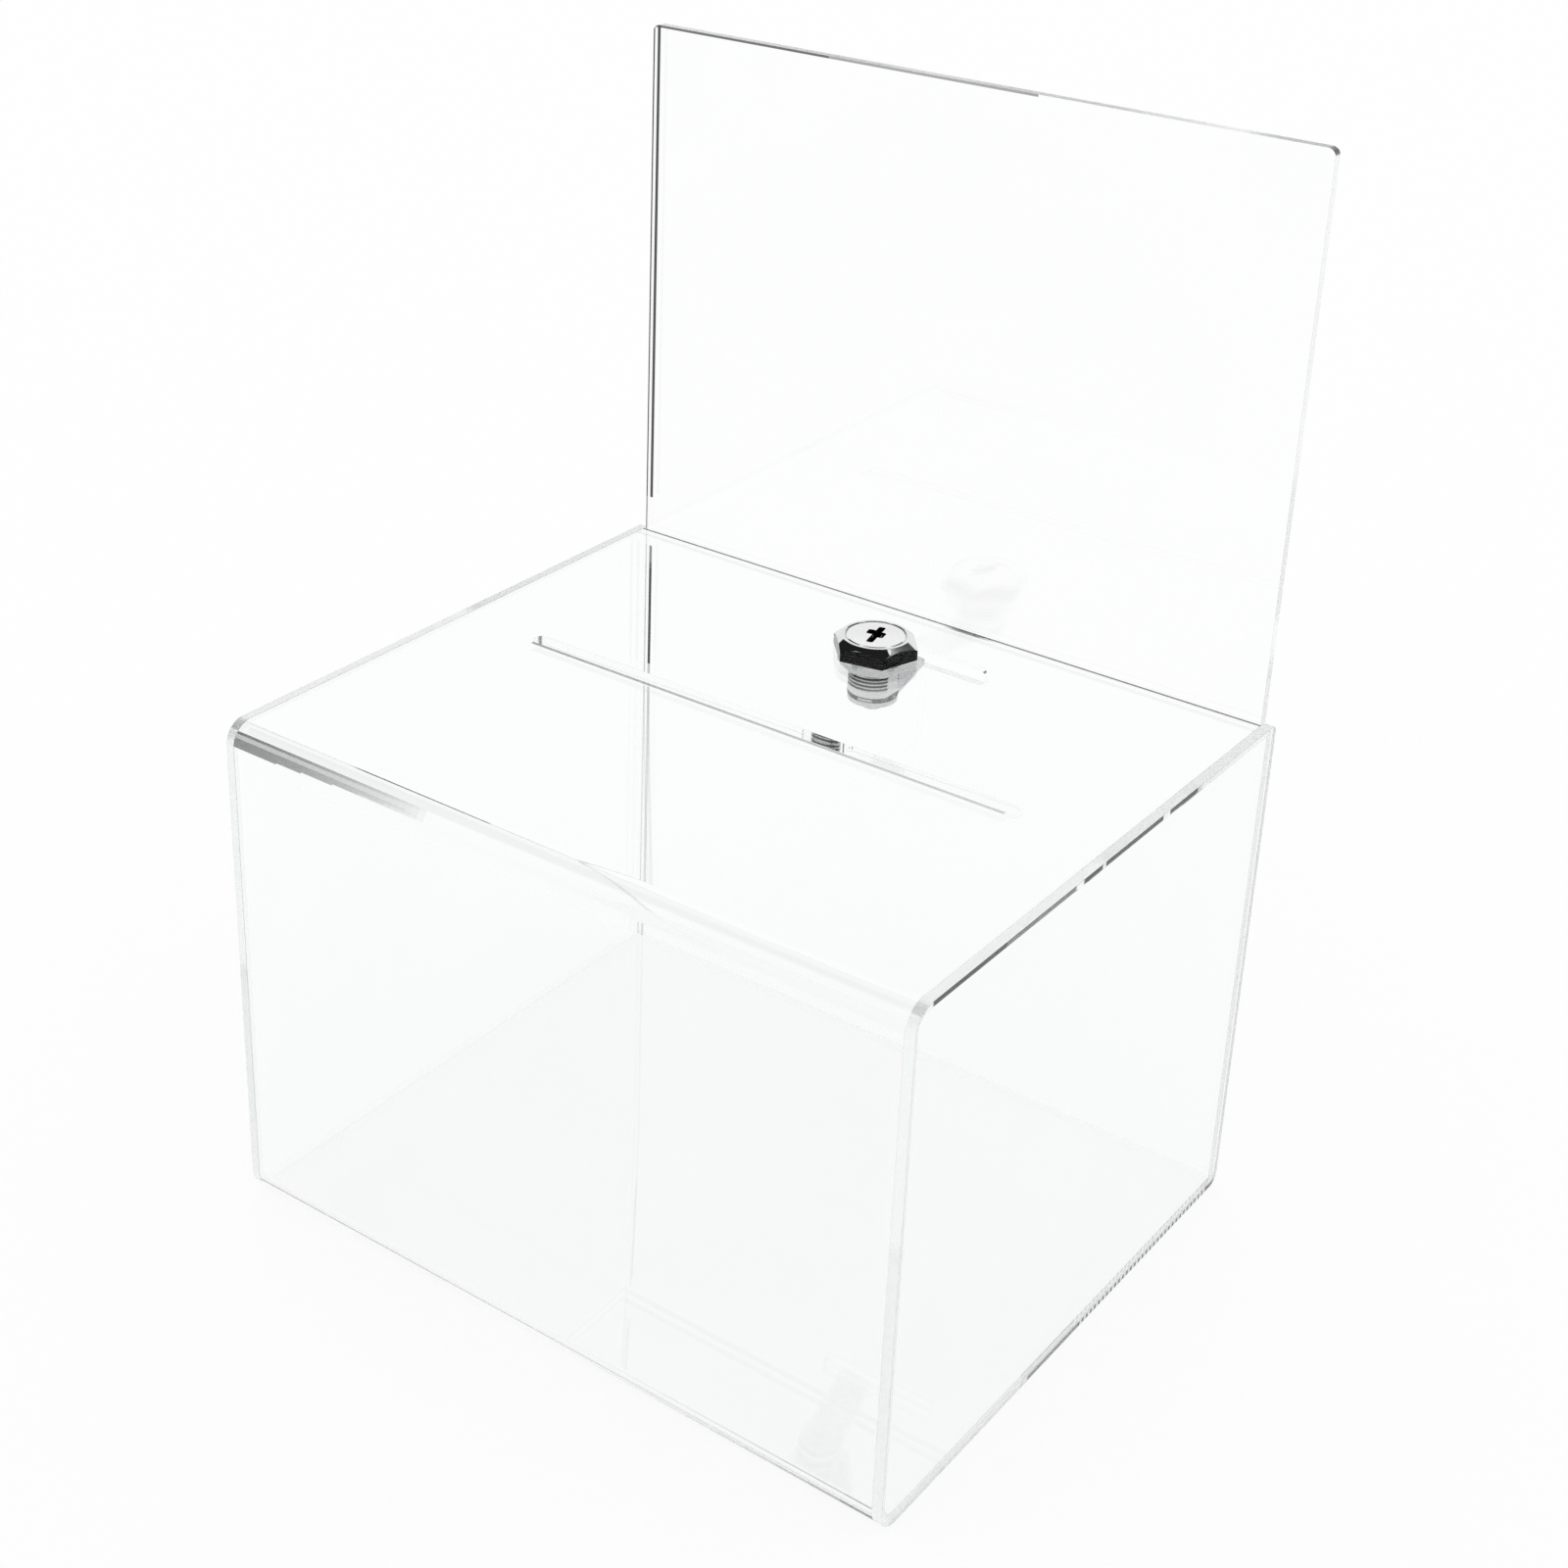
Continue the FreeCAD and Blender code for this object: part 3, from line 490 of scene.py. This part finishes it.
# The right panel's top dashes and its bottom line and dots are painted dark reflections.
top_dashes = (
    (-0.113, -0.070, 1.0), (-0.070, -0.0264, 0.96), (-0.0212, -0.0087, 1.0), (-0.0064, 0.0338, 1.0),
    (0.0388, 0.0592, 1.0),
)
dash_height = 0.0018
dot_low, dot_high = 0.0004, 0.0024
dot_pitch = 0.0031
dots_start, dots_length = 0.010, 0.106
foot_line_start = -0.0264
handled_edge = 0.00025
for label in ("left", "right"):
    low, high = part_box(label + "_side_panel")
    side = prism(label + "_side_sheet", side_outline, low.x, high.x, "x")
    if label == "right":
        halves = int(2 * dots_length / dot_pitch)
        split_faces(side, "y", sorted({end for dash in top_dashes for end in dash[:2]}))
        split_faces(side, "y", [dots_start + dot_pitch * half / 2 for half in range(halves)])
        split_faces(side, "z", [low.z + dot_low, low.z + dot_high, high.z - dash_height])
    ease_edges(side, handled_edge)
    side.data.materials.clear()
    side.data.materials.append(sawn_acrylic)

    def side_is_cut(centre, normal):
        """How sawn a face looks: all but the two polished ones; front and top edges are scraped smooth."""
        sawn, scraped = 1.0, 0.3
        if abs(normal.x) > 0.9:
            return 0.0
        return sawn if normal.z < -0.3 or normal.y > 0.3 else scraped

    # The dashes, the line and the dots are painted dark reflections in the right panel's edges.
    def side_painted_reflections(centre, normal):
        """On the right, as in the photo: dashes along the top edge, and a line and dots along the bottom."""
        dot_dark, foot_line_dark = 0.98, 0.9
        if label == "left" or normal.x < 0.2:
            return 0.0
        if centre.z > high.z - dash_height:
            return max([amount for start, end, amount in top_dashes if start < centre.y < end], default=0.0)
        if low.z + dot_low < centre.z < low.z + dot_high:
            in_dot = (centre.y - dots_start) % dot_pitch < dot_pitch / 2
            if centre.y > dots_start:
                return dot_dark if in_dot else 0.0
            return foot_line_dark if centre.y > foot_line_start else 0.0
        return 0.0

    mark_faces(side, "cut_face", side_is_cut)
    mark_faces(side, "painted_reflection_line", side_painted_reflections)
    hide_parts(label + "_side_panel")
    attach(side, "box")


# Lock housing
# Zinc casting with bright plating: a chamfered hexagon head, a recess for the plug's face and a threaded
# barrel with two flats, dropped through the top sheet and clamped from below.

lock_top = wrap_high.z
ring_steps = 240
head_flats = 0.030
head_height = 0.0074
head_turn = math.radians(12)
head_face_radius = 0.0134
head_chamfer_drop = 0.003
recess_radius = 0.0121
recess_depth = 0.0016
plug_radius = 0.007
plug_fit = 0.00006
barrel_length = 0.0186
stop_height = 0.0012
stop_bore_radius = 0.0073
stop_path_start = math.radians(248)
stop_path_angle = math.radians(134)
thread_pitch = 0.0015
thread_depth = 0.00055
thread_low = -0.0155
soft_edge = 0.00012
end_band = 6 * soft_edge - barrel_length


def hexagon_radius(angle, flats):
    """How far a hexagon with a corner to the right reaches in one direction."""
    return flats / 2 / math.cos(angle % (math.pi / 3) - math.pi / 6)


def flat_radius(angle, radius, flats):
    """How far a round bar with two flats reaches in one direction."""
    return min(radius, flats / 2 / max(abs(math.cos(angle)), 1e-6))


def ring(radius, height):
    """One ring of points about the lock's axis; radius and height may depend on the angle."""
    points = []
    for step in range(ring_steps):
        angle = 2 * math.pi * step / ring_steps
        reach = radius(angle) if callable(radius) else radius
        level = height(angle) if callable(height) else height
        points.append((reach * math.cos(angle), lock_y + reach * math.sin(angle), lock_top + level))
    return points


def ring_solid(name, rings, bored):
    """A closed skin through rings; a bored piece joins its last ring to its first, others get caps."""
    points = [point for each in rings for point in each]
    faces = []
    for index in range(len(rings) if bored else len(rings) - 1):
        this, following = index * ring_steps, (index + 1) % len(rings) * ring_steps
        for step in range(ring_steps):
            after = (step + 1) % ring_steps
            faces.append((this + step, this + after, following + after, following + step))
    if not bored:
        faces += [tuple(range(ring_steps)), tuple(range(len(points) - ring_steps, len(points)))]
    obj = mesh_object(name, points, faces=faces)
    face_outwards(obj)
    return obj


def smooth_round(obj, sharp=math.radians(28)):
    """Smooth shading that keeps real corners sharp and broad faces true."""
    for polygon in obj.data.polygons:
        polygon.use_smooth = True
    obj.data.set_sharp_from_angle(angle=sharp)
    normals = obj.modifiers.new("true_faces", "WEIGHTED_NORMAL")
    normals.weight = 100
    normals.keep_sharp = True
    settle(obj)


def bright_plating(name, tint, ripple, satin):
    """Bright plating: nearly a mirror, with slight waviness and wear; some marked faces are dull, and others
    are painted dark, as painted shade and painted dark reflections.
    """
    painted_dark_colour = (0.012, 0.012, 0.012, 1.0)
    dull_roughness = 0.42
    worn_share = 0.8
    material, tree, shader = new_material(name)
    shader.inputs["Metallic"].default_value = 1.0
    place = node(tree, "ShaderNodeTexCoord")
    haze = node(tree, "ShaderNodeTexNoise", {"Scale": 420.0, "Detail": 4.0})
    wave = node(tree, "ShaderNodeTexNoise", {"Scale": 260.0, "Detail": 1.0})
    wear = node(tree, "ShaderNodeGroup", node_tree=handling)
    gloss = node(tree, "ShaderNodeMapRange",
                 {"From Min": 0.3, "From Max": 0.75, "To Min": satin, "To Max": 1.6 * satin})
    worn = tuple(worn_share * part for part in tint)
    colour = node(tree, "ShaderNodeMix", {"A": (*tint, 1.0), "B": (*worn, 1.0)}, data_type="RGBA")
    bump = node(tree, "ShaderNodeBump", {"Strength": 1.0, "Distance": ripple})
    dull = node(tree, "ShaderNodeAttribute", attribute_name="dull")
    painted_shade_and_reflection = node(tree, "ShaderNodeAttribute", attribute_name="painted_shade_and_reflection")
    blast = node(tree, "ShaderNodeMix", {"B": dull_roughness}, data_type="FLOAT")
    shade = node(tree, "ShaderNodeMix", {"B": painted_dark_colour}, data_type="RGBA")
    link = tree.links.new
    link(place.outputs["Object"], haze.inputs["Vector"])
    link(place.outputs["Object"], wave.inputs["Vector"])
    link(place.outputs["Object"], wear.inputs["Position"])
    link(haze.outputs["Fac"], gloss.inputs["Value"])
    link(dull.outputs["Fac"], blast.inputs["Factor"])
    link(gloss.outputs["Result"], blast.inputs["A"])
    link(blast.outputs["Result"], shader.inputs["Roughness"])
    link(wear.outputs["Smear"], colour.inputs["Factor"])
    link(painted_shade_and_reflection.outputs["Fac"], shade.inputs["Factor"])
    link(colour.outputs["Result"], shade.inputs["A"])
    link(shade.outputs["Result"], shader.inputs["Base Color"])
    link(wave.outputs["Fac"], bump.inputs["Height"])
    link(bump.outputs["Normal"], shader.inputs["Normal"])
    return material


def head_radius(angle):
    return hexagon_radius(angle - head_turn, head_flats)


def chamfer_height(angle):
    """Where the turned chamfer meets the hexagon's side."""
    corner = head_flats / math.sqrt(3)
    slope = head_chamfer_drop / (corner - head_face_radius)
    return head_height - (head_radius(angle) - head_face_radius) * slope


def barrel_reach(angle):
    return flat_radius(angle, barrel_radius, barrel_flats)


def barrel_end(angle):
    """The barrel's end, lower outside the path in which the stop washer's ear runs."""
    in_path = (angle - stop_path_start) % (2 * math.pi) < stop_path_angle
    return -barrel_length - (soft_edge if in_path else stop_height)


def thread_reach(height):
    """The threaded barrel's radius round the axis at one height."""
    def reach(angle):
        turn = height / thread_pitch - angle / (2 * math.pi)
        groove = 1 - abs(2 * (turn % 1) - 1)
        return flat_radius(angle, barrel_radius - thread_depth * groove, barrel_flats)
    return reach


plating = bright_plating("bright_plating", (0.80, 0.805, 0.815), ripple=0.000003, satin=0.03)
housing_rings = [
    ring(barrel_reach, 0),
    ring(lambda angle: head_radius(angle) - 2 * soft_edge, 0),
    ring(head_radius, 2 * soft_edge),
    ring(head_radius, lambda angle: chamfer_height(angle) - soft_edge),
    ring(lambda angle: head_radius(angle) - soft_edge, chamfer_height),
    ring(head_face_radius + soft_edge, head_height - soft_edge),
    ring(head_face_radius - soft_edge, head_height),
    ring(recess_radius + soft_edge, head_height),
    ring(recess_radius, head_height - soft_edge),
    ring(recess_radius, head_height - recess_depth),
    ring(plug_radius + plug_fit, head_height - recess_depth),
    ring(plug_radius + plug_fit, -barrel_length + soft_edge),
    ring(stop_bore_radius, -barrel_length),
    ring(stop_bore_radius, barrel_end),
    ring(lambda angle: barrel_reach(angle) - 4 * soft_edge, barrel_end),
    ring(barrel_reach, lambda angle: barrel_end(angle) + 4 * soft_edge),
    ring(barrel_reach, end_band),
]
thread_steps = 84
for step in range(thread_steps):
    level = thread_low + (-2 * soft_edge - thread_low) * step / (thread_steps - 1)
    housing_rings.append(ring(thread_reach(level), level))
housing = ring_solid("lock_housing", housing_rings, bored=True)
smooth_round(housing)
housing.data.materials.append(plating)
mark_faces(housing, "dull", lambda centre, normal: 1.0 if centre.z < lock_top else 0.0)


def housing_painted_shade_and_reflection(centre, normal):
    """How dark a face is painted: the hexagon's flat sides as a painted dark reflection, and the barrel's end
    and the thread's groove, by depth, as painted shade.
    """
    side_dark, end_dark, groove_dark = 0.99, 0.9, 0.95
    groove_gain, groove_start = 2.2, 0.5
    reach = math.hypot(centre.x, centre.y - lock_y)
    if centre.z > lock_top:
        return side_dark if abs(normal.z) < 0.3 and reach > head_face_radius else 0.0
    if centre.z < lock_top + end_band and reach > barrel_flats / 2 - 5 * soft_edge:
        return end_dark
    threaded = thread_low < centre.z - lock_top and abs(centre.x) < barrel_flats / 2 - soft_edge
    depth = (barrel_radius - reach) / thread_depth
    in_groove = threaded and depth < 2
    return min(groove_dark, max(0.0, groove_gain * depth - groove_start)) if in_groove else 0.0


mark_faces(housing, "painted_shade_and_reflection", housing_painted_shade_and_reflection)
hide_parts("lock_body")
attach(housing, "box")


# Lock nut
# Thin plated hexagon nut, turned up the barrel's thread against the underside of the top sheet.

nut_flats = 0.025
nut_thickness = 0.0035
nut_high = -sheet
nut_low = nut_high - nut_thickness
nut_chamfer = 0.0007
nut_clearance = 0.00005
nut_bore = barrel_radius + nut_clearance


def nut_radius(angle):
    return hexagon_radius(angle - math.pi / 6, nut_flats)


def nut_chamfered(angle):
    return min(nut_radius(angle), nut_flats / 2 + nut_chamfer)


nut = ring_solid("lock_hexagon_nut", [
    ring(nut_bore + nut_chamfer / 2, nut_high),
    ring(nut_chamfered, nut_high),
    ring(nut_radius, nut_high - nut_chamfer),
    ring(nut_radius, nut_low + nut_chamfer),
    ring(nut_chamfered, nut_low),
    ring(nut_bore + nut_chamfer / 2, nut_low),
    ring(nut_bore, nut_low + nut_chamfer / 2),
    ring(nut_bore, nut_high - nut_chamfer / 2),
], bored=True)
smooth_round(nut)
nut.data.materials.append(bright_plating("nut_plating", (0.66, 0.665, 0.67), ripple=0.00001, satin=0.16))
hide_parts("lock_nut")
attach(nut, "box")


# Lock plug
# Turned and plated plug that the key turns: a round face with an offset key slot, a core that fills the
# barrel's bore, and a tail with two flats that carries the cam.

face_gap = 0.0005
end_play = 0.0001
face_radius = recess_radius - face_gap
tail_radius = 0.0046
tail_flats = 0.0068
rest_turn = math.radians(12)
cam_bottom = -0.0219
keyway_width = 0.0024
keyway_length = 0.0106
keyway_depth = 0.0196
mouth_width = 0.0028
mouth_length = 0.0148
mouth_depth = 0.0012
ward_round = 0.0009
left_ward = (0.0028, 0.004, 0.0017)
right_ward = (0.002, 0.005, 0.0004)


def tail_reach(angle):
    return flat_radius(angle - rest_turn, tail_radius, tail_flats)


face_low = head_height - recess_depth + end_play
face_high = head_height - end_play
plug = ring_solid("key_plug", [
    ring(tail_reach, cam_bottom + end_play),
    ring(tail_reach, -barrel_length - end_play),
    ring(plug_radius, -barrel_length - end_play),
    ring(plug_radius, face_low),
    ring(face_radius, face_low),
    ring(face_radius, face_high - 3 * soft_edge),
    ring(face_radius - 3 * soft_edge, face_high),
], bored=False)
key_top = lock_top + head_height + mouth_depth
mouth_low = lock_top + face_high - mouth_depth


def in_plug(x, y, width, length, radius):
    """A rectangle in the plug's own directions, set on the lock's axis and turned with the plug."""
    turn = Matrix.Rotation(rest_turn, 2)
    turned = [turn @ Vector(point) for point in rectangle(x, y, width, length, radius)]
    return [(point.x, lock_y + point.y) for point in turned]


mouth = in_plug(0, 0, mouth_width, mouth_length, ward_round)
cut_out(plug, prism("key_mouth", mouth, mouth_low, key_top, "z"))
for sign, (width, length, along) in ((-1, left_ward), (1, right_ward)):
    across = sign * (mouth_width + width) / 2 - sign * ward_round
    ward = in_plug(across, along, width + 2 * ward_round, length, ward_round)
    cut_out(plug, prism("key_ward", ward, mouth_low, key_top, "z"))
keyway = in_plug(0, 0, keyway_width, keyway_length, ward_round)
cut_out(plug, prism("keyway", keyway, lock_top + head_height - keyway_depth, key_top, "z"))
smooth_round(plug)


def in_key_slot(point):
    """True for the walls and floors of the key's opening."""
    reach = math.hypot(point.x, point.y - lock_y)
    under_face = mouth_low - keyway_depth < point.z < lock_top + face_high - soft_edge / 2
    return under_face and reach < mouth_length / 2 + soft_edge


plug.data.materials.clear()
# The key slot's walls and floors are painted near black as painted shade.
mark_faces(plug, "painted_shade_and_reflection", lambda centre, normal: 1.0 if in_key_slot(centre) else 0.0)
plug.data.materials.append(bright_plating("plug_plating", (0.90, 0.90, 0.90), ripple=0.000004, satin=0.12))
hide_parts("lock_plug")
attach(plug, "lock_core")


# Wafers and springs
# Five stamped brass wafers lie across the plug, each pushed by its own small coil of spring wire. They are
# inside the barrel, so the frame's own solids carry the metal.

wafer_metal = bright_plating("wafer_brass", (0.70, 0.53, 0.24), ripple=0.000004, satin=0.25)
spring_metal = bright_plating("spring_wire", (0.60, 0.60, 0.61), ripple=0.000002, satin=0.2)
for number in range(1, 6):
    for label, metal in (("tumbler_wafer_%d", wafer_metal), ("wafer_spring_%d", spring_metal)):
        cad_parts[label % number].material_slots[0].material = metal


# Cam, stop washer, washer and screw
# Stamped and zinc plated steel, stacked on the plug's tail: the stop washer, the cam that points at the rear
# panel, a plain washer and a cross recess screw.

zinc_plate = bright_plating("zinc_plate", (0.62, 0.63, 0.64), ripple=0.000008, satin=0.22)
join_distance = 1e-6
flat_angle = math.radians(1)
corner_angle = math.radians(40)
stamped_edges = {"cam_stop_washer": 0.00012, "lock_cam": 0.0002, "cam_washer": 0.00018, "cam_screw": 0.0003}
for label, edge in stamped_edges.items():
    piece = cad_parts[label].copy()
    piece.data = piece.data.copy()
    piece.name = label + "_stamped" if label != "cam_screw" else "cam_screw_turned"
    for key in [key for key in piece.keys() if key.startswith("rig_")]:
        del piece[key]
    piece.parent = None
    bpy.context.scene.collection.objects.link(piece)
    skin = bmesh.new()
    skin.from_mesh(piece.data)
    bmesh.ops.remove_doubles(skin, verts=skin.verts, dist=join_distance)
    bmesh.ops.dissolve_limit(skin, angle_limit=flat_angle, verts=skin.verts, edges=skin.edges)
    skin.to_mesh(piece.data)
    skin.free()
    ease_edges(piece, edge, sharp=corner_angle)
    piece.data.materials.clear()
    piece.data.materials.append(zinc_plate)
    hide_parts(label)
    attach(piece, "lock_core")


# Rear panel
# Flat clear acrylic that stands between the sides with a milled tongue in the bottom's groove, closes the
# back and runs on upwards as the sign header. Its edges are left as sawn, and a routed slot takes the cam.

header_corner_radius = 0.003
cam_slot_length = 0.054
cam_slot_height = 0.006
cam_slot_radius = 0.002
cam_low, cam_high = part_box("lock_cam")
cam_slot_z = (cam_low.z + cam_high.z) / 2
panel_outline = rounded([
    (panel_low.x, panel_low.z, 0.0),
    (panel_high.x, panel_low.z, 0.0),
    (panel_high.x, panel_high.z, header_corner_radius),
    (panel_low.x, panel_high.z, header_corner_radius),
])
panel = prism("rear_header_sheet", panel_outline, panel_low.y, panel_high.y, "y")
cut_out(panel, prism("cam_slot", rectangle(0, cam_slot_z, cam_slot_length, cam_slot_height, cam_slot_radius),
                     panel_low.y - sheet, panel_high.y + sheet, "y"))
rebate = rectangle(panel_low.y + tongue_thickness + sheet, panel_low.z, 2 * sheet, 2 * tongue_length)
cut_out(panel, prism("tongue_rebate", rebate, panel_low.x - sheet, panel_high.x + sheet, "x"))
# Where the header's painted dark reflections lie: a line under its top edge and two upright lines at its left
# edge.
top_line = 0.0009
top_line_ends = (-0.060, 0.030)
line_levels = (0.140, wrap_high.z - 0.010, wrap_high.z, wrap_high.z + 0.015)
left_lines = (
    (0.0003, 0.0009, (0.5, 0.3, 0.0, 0.95, 1.0)),
    (0.0023, 0.0037, (0.5, 1.0, 0.0, 0.0, 1.0)),
)
split_faces(panel, "z", [*line_levels, panel_high.z - top_line])
split_faces(panel, "x", [*top_line_ends, *(panel_low.x + end for line in left_lines for end in line[:2])])
ease_edges(panel, handled_edge)
panel.data.materials.clear()
panel.data.materials.append(acrylic("header_acrylic", cut_pitch=0.0016, cut_depth=0.00012))


def panel_is_cut(centre, normal):
    """How sawn a face looks: the edges, but hardly the left one and not at all the cam slot's walls."""
    sawn, polished = 0.45, 0.08
    in_slot = abs(centre.x) < cam_slot_length / 2 + soft_edge and abs(centre.z - cam_slot_z) < cam_slot_height
    if abs(normal.y) > 0.9 or in_slot:
        return 0.0
    return polished if normal.x < -0.5 else sawn


# The panel's dark lines are painted dark reflections in its edges.
def panel_painted_reflections(centre, normal):
    """As in the photo: two upright lines at the left edge, by height, and one under the top's left part."""
    left_dark, middle_dark = 0.98, 0.85
    for start, end, amounts in left_lines:
        if start < centre.x - panel_low.x < end and normal.y < -0.9:
            return amounts[sum(centre.z > level for level in line_levels)]
    if normal.y < -0.2 and centre.z > panel_high.z - top_line:
        if centre.x < top_line_ends[0]:
            return left_dark
        return middle_dark if centre.x < top_line_ends[1] else 0.0
    return 0.0


mark_faces(panel, "cut_face", panel_is_cut)
mark_faces(panel, "painted_reflection_line", panel_painted_reflections)
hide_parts("rear_panel")
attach(panel, "rear_panel")


# Studio
# A plain white floor that runs on out of view under a white surround. What the metal mirrors also has a dark
# screen overhead and one on each side, as a photographer hangs them for bright metal, and one small lamp.

floor_radius = 9.0
floor_sides = 64
floor_drop = 0.0004
floor_colour = (0.93, 0.93, 0.93, 1.0)
floor_shade_share = 0.09
white = (1.0, 1.0, 1.0, 1.0)
dark_colour = (0.015, 0.015, 0.016, 1.0)
dark_screens = (
    (Vector((0.0, 0.0, 1.0)), 0.85),
    (Vector((0.392, 0.603, 0.695)), 0.913),
    (Vector((-0.713, -0.098, 0.695)), 0.913),
)
lamp_direction = Vector((0.360, 0.188, 0.914)).normalized()
screen_edge = 0.01
lamp_width = 0.9985
lamp_edge = 0.0006
bounce_limit = 128


def step_node(tree, source, low, high):
    """0 up to low and 1 from high on, or the other way round where low is the larger."""
    made = node(tree, "ShaderNodeMapRange", {"From Min": low, "From Max": high})
    tree.links.new(source, made.inputs["Value"])
    return made.outputs["Result"]


def math_node(tree, operation, first, second):
    """One operation on the numbers of two sockets."""
    made = node(tree, "ShaderNodeMath", operation=operation)
    tree.links.new(first, made.inputs[0])
    tree.links.new(second, made.inputs[1])
    return made.outputs[0]


def vector_node(tree, operation, source, other):
    """A number from a socket's vector and a fixed one."""
    made = node(tree, "ShaderNodeVectorMath", operation=operation)
    tree.links.new(source, made.inputs[0])
    made.inputs[1].default_value = other
    return made.outputs["Value"]


floor_rim = []
for step in range(floor_sides):
    angle = 2 * math.pi * step / floor_sides
    floor_rim.append((floor_radius * math.cos(angle), floor_radius * math.sin(angle), -floor_drop))
floor = mesh_object("studio_floor", floor_rim, faces=[tuple(range(floor_sides))])
floor_paint, tree, shader = new_material("white_floor")
shader.inputs["Base Color"].default_value = floor_colour
shader.inputs["Roughness"].default_value = 0.9
shader.inputs["Specular IOR Level"].default_value = 0.0
link = tree.links.new
path = node(tree, "ShaderNodeLightPath").outputs
through = math_node(tree, "MAXIMUM", path["Is Transmission Ray"], path["Is Glossy Ray"])
seen = math_node(tree, "MAXIMUM", path["Is Camera Ray"], through)
share = node(tree, "ShaderNodeMath", operation="MULTIPLY")
share.inputs[1].default_value = 1.0 - floor_shade_share
glow = node(tree, "ShaderNodeEmission", {"Color": white, "Strength": 1.0})
blend = node(tree, "ShaderNodeMixShader")
link(seen, share.inputs[0])
link(share.outputs[0], blend.inputs["Fac"])
link(shader.outputs["BSDF"], blend.inputs[1])
link(glow.outputs["Emission"], blend.inputs[2])
link(blend.outputs["Shader"], tree.nodes["Material Output"].inputs["Surface"])
floor.data.materials.append(floor_paint)
floor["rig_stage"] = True

world = bpy.data.worlds.new("white_studio")
bpy.context.scene.world = world
world.use_nodes = True
tree = world.node_tree
link = tree.links.new
path = node(tree, "ShaderNodeLightPath").outputs
direction = node(tree, "ShaderNodeTexCoord").outputs["Generated"]
# Glossy Depth counts whole mirrorings, so these two steps single out the rays that were mirrored once.
mirrored_once = math_node(tree, "MULTIPLY", step_node(tree, path["Glossy Depth"], 0.4, 0.6),
                          step_node(tree, path["Glossy Depth"], 1.6, 1.4))
on_screen = None
for screen_direction, width in dark_screens:
    towards = vector_node(tree, "DOT_PRODUCT", direction, screen_direction)
    screen = step_node(tree, towards, width - screen_edge, width + screen_edge)
    on_screen = math_node(tree, "MAXIMUM", on_screen, screen) if on_screen else screen
towards = vector_node(tree, "DOT_PRODUCT", direction, lamp_direction)
beside_lamp = step_node(tree, towards, lamp_width, lamp_width - lamp_edge)
colour = node(tree, "ShaderNodeMix", {"A": white, "B": dark_colour}, data_type="RGBA")
room = math_node(tree, "MULTIPLY", on_screen, beside_lamp)
link(math_node(tree, "MULTIPLY", mirrored_once, room), colour.inputs["Factor"])
link(colour.outputs["Result"], tree.nodes["Background"].inputs["Color"])

# Light that runs along inside a sheet is turned back many times before it leaves at an edge.
cycles = bpy.context.scene.cycles
cycles.max_bounces = bounce_limit
cycles.glossy_bounces = bounce_limit
cycles.transmission_bounces = bounce_limit

camera_place = Vector((0.4707, -0.6747, 0.6300))
camera_azimuth = math.radians(36.7191)
camera_elevation = math.radians(25.142)
camera_roll = math.radians(1.3462)
back = Vector((math.sin(camera_azimuth) * math.cos(camera_elevation),
               -math.cos(camera_azimuth) * math.cos(camera_elevation), math.sin(camera_elevation)))
right = Vector((math.cos(camera_azimuth), math.sin(camera_azimuth), 0))
up = back.cross(right)
rolled_right = right * math.cos(camera_roll) + up * math.sin(camera_roll)
rolled_up = back.cross(rolled_right)
lens = bpy.data.cameras.new("photo_camera")
lens.sensor_width = 36.0
lens.lens = 58.468
lens.shift_x = 0.0625
lens.shift_y = -0.1
lens.clip_start = 0.01
lens.clip_end = 100.0
camera = bpy.data.objects.new("photo_camera", lens)
bpy.context.scene.collection.objects.link(camera)
camera_turn = Matrix((rolled_right, rolled_up, back)).transposed().to_4x4()
camera.matrix_world = Matrix.Translation(camera_place) @ camera_turn
bpy.context.scene.camera = camera
bpy.context.scene.view_settings.view_transform = "Standard"

low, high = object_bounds()
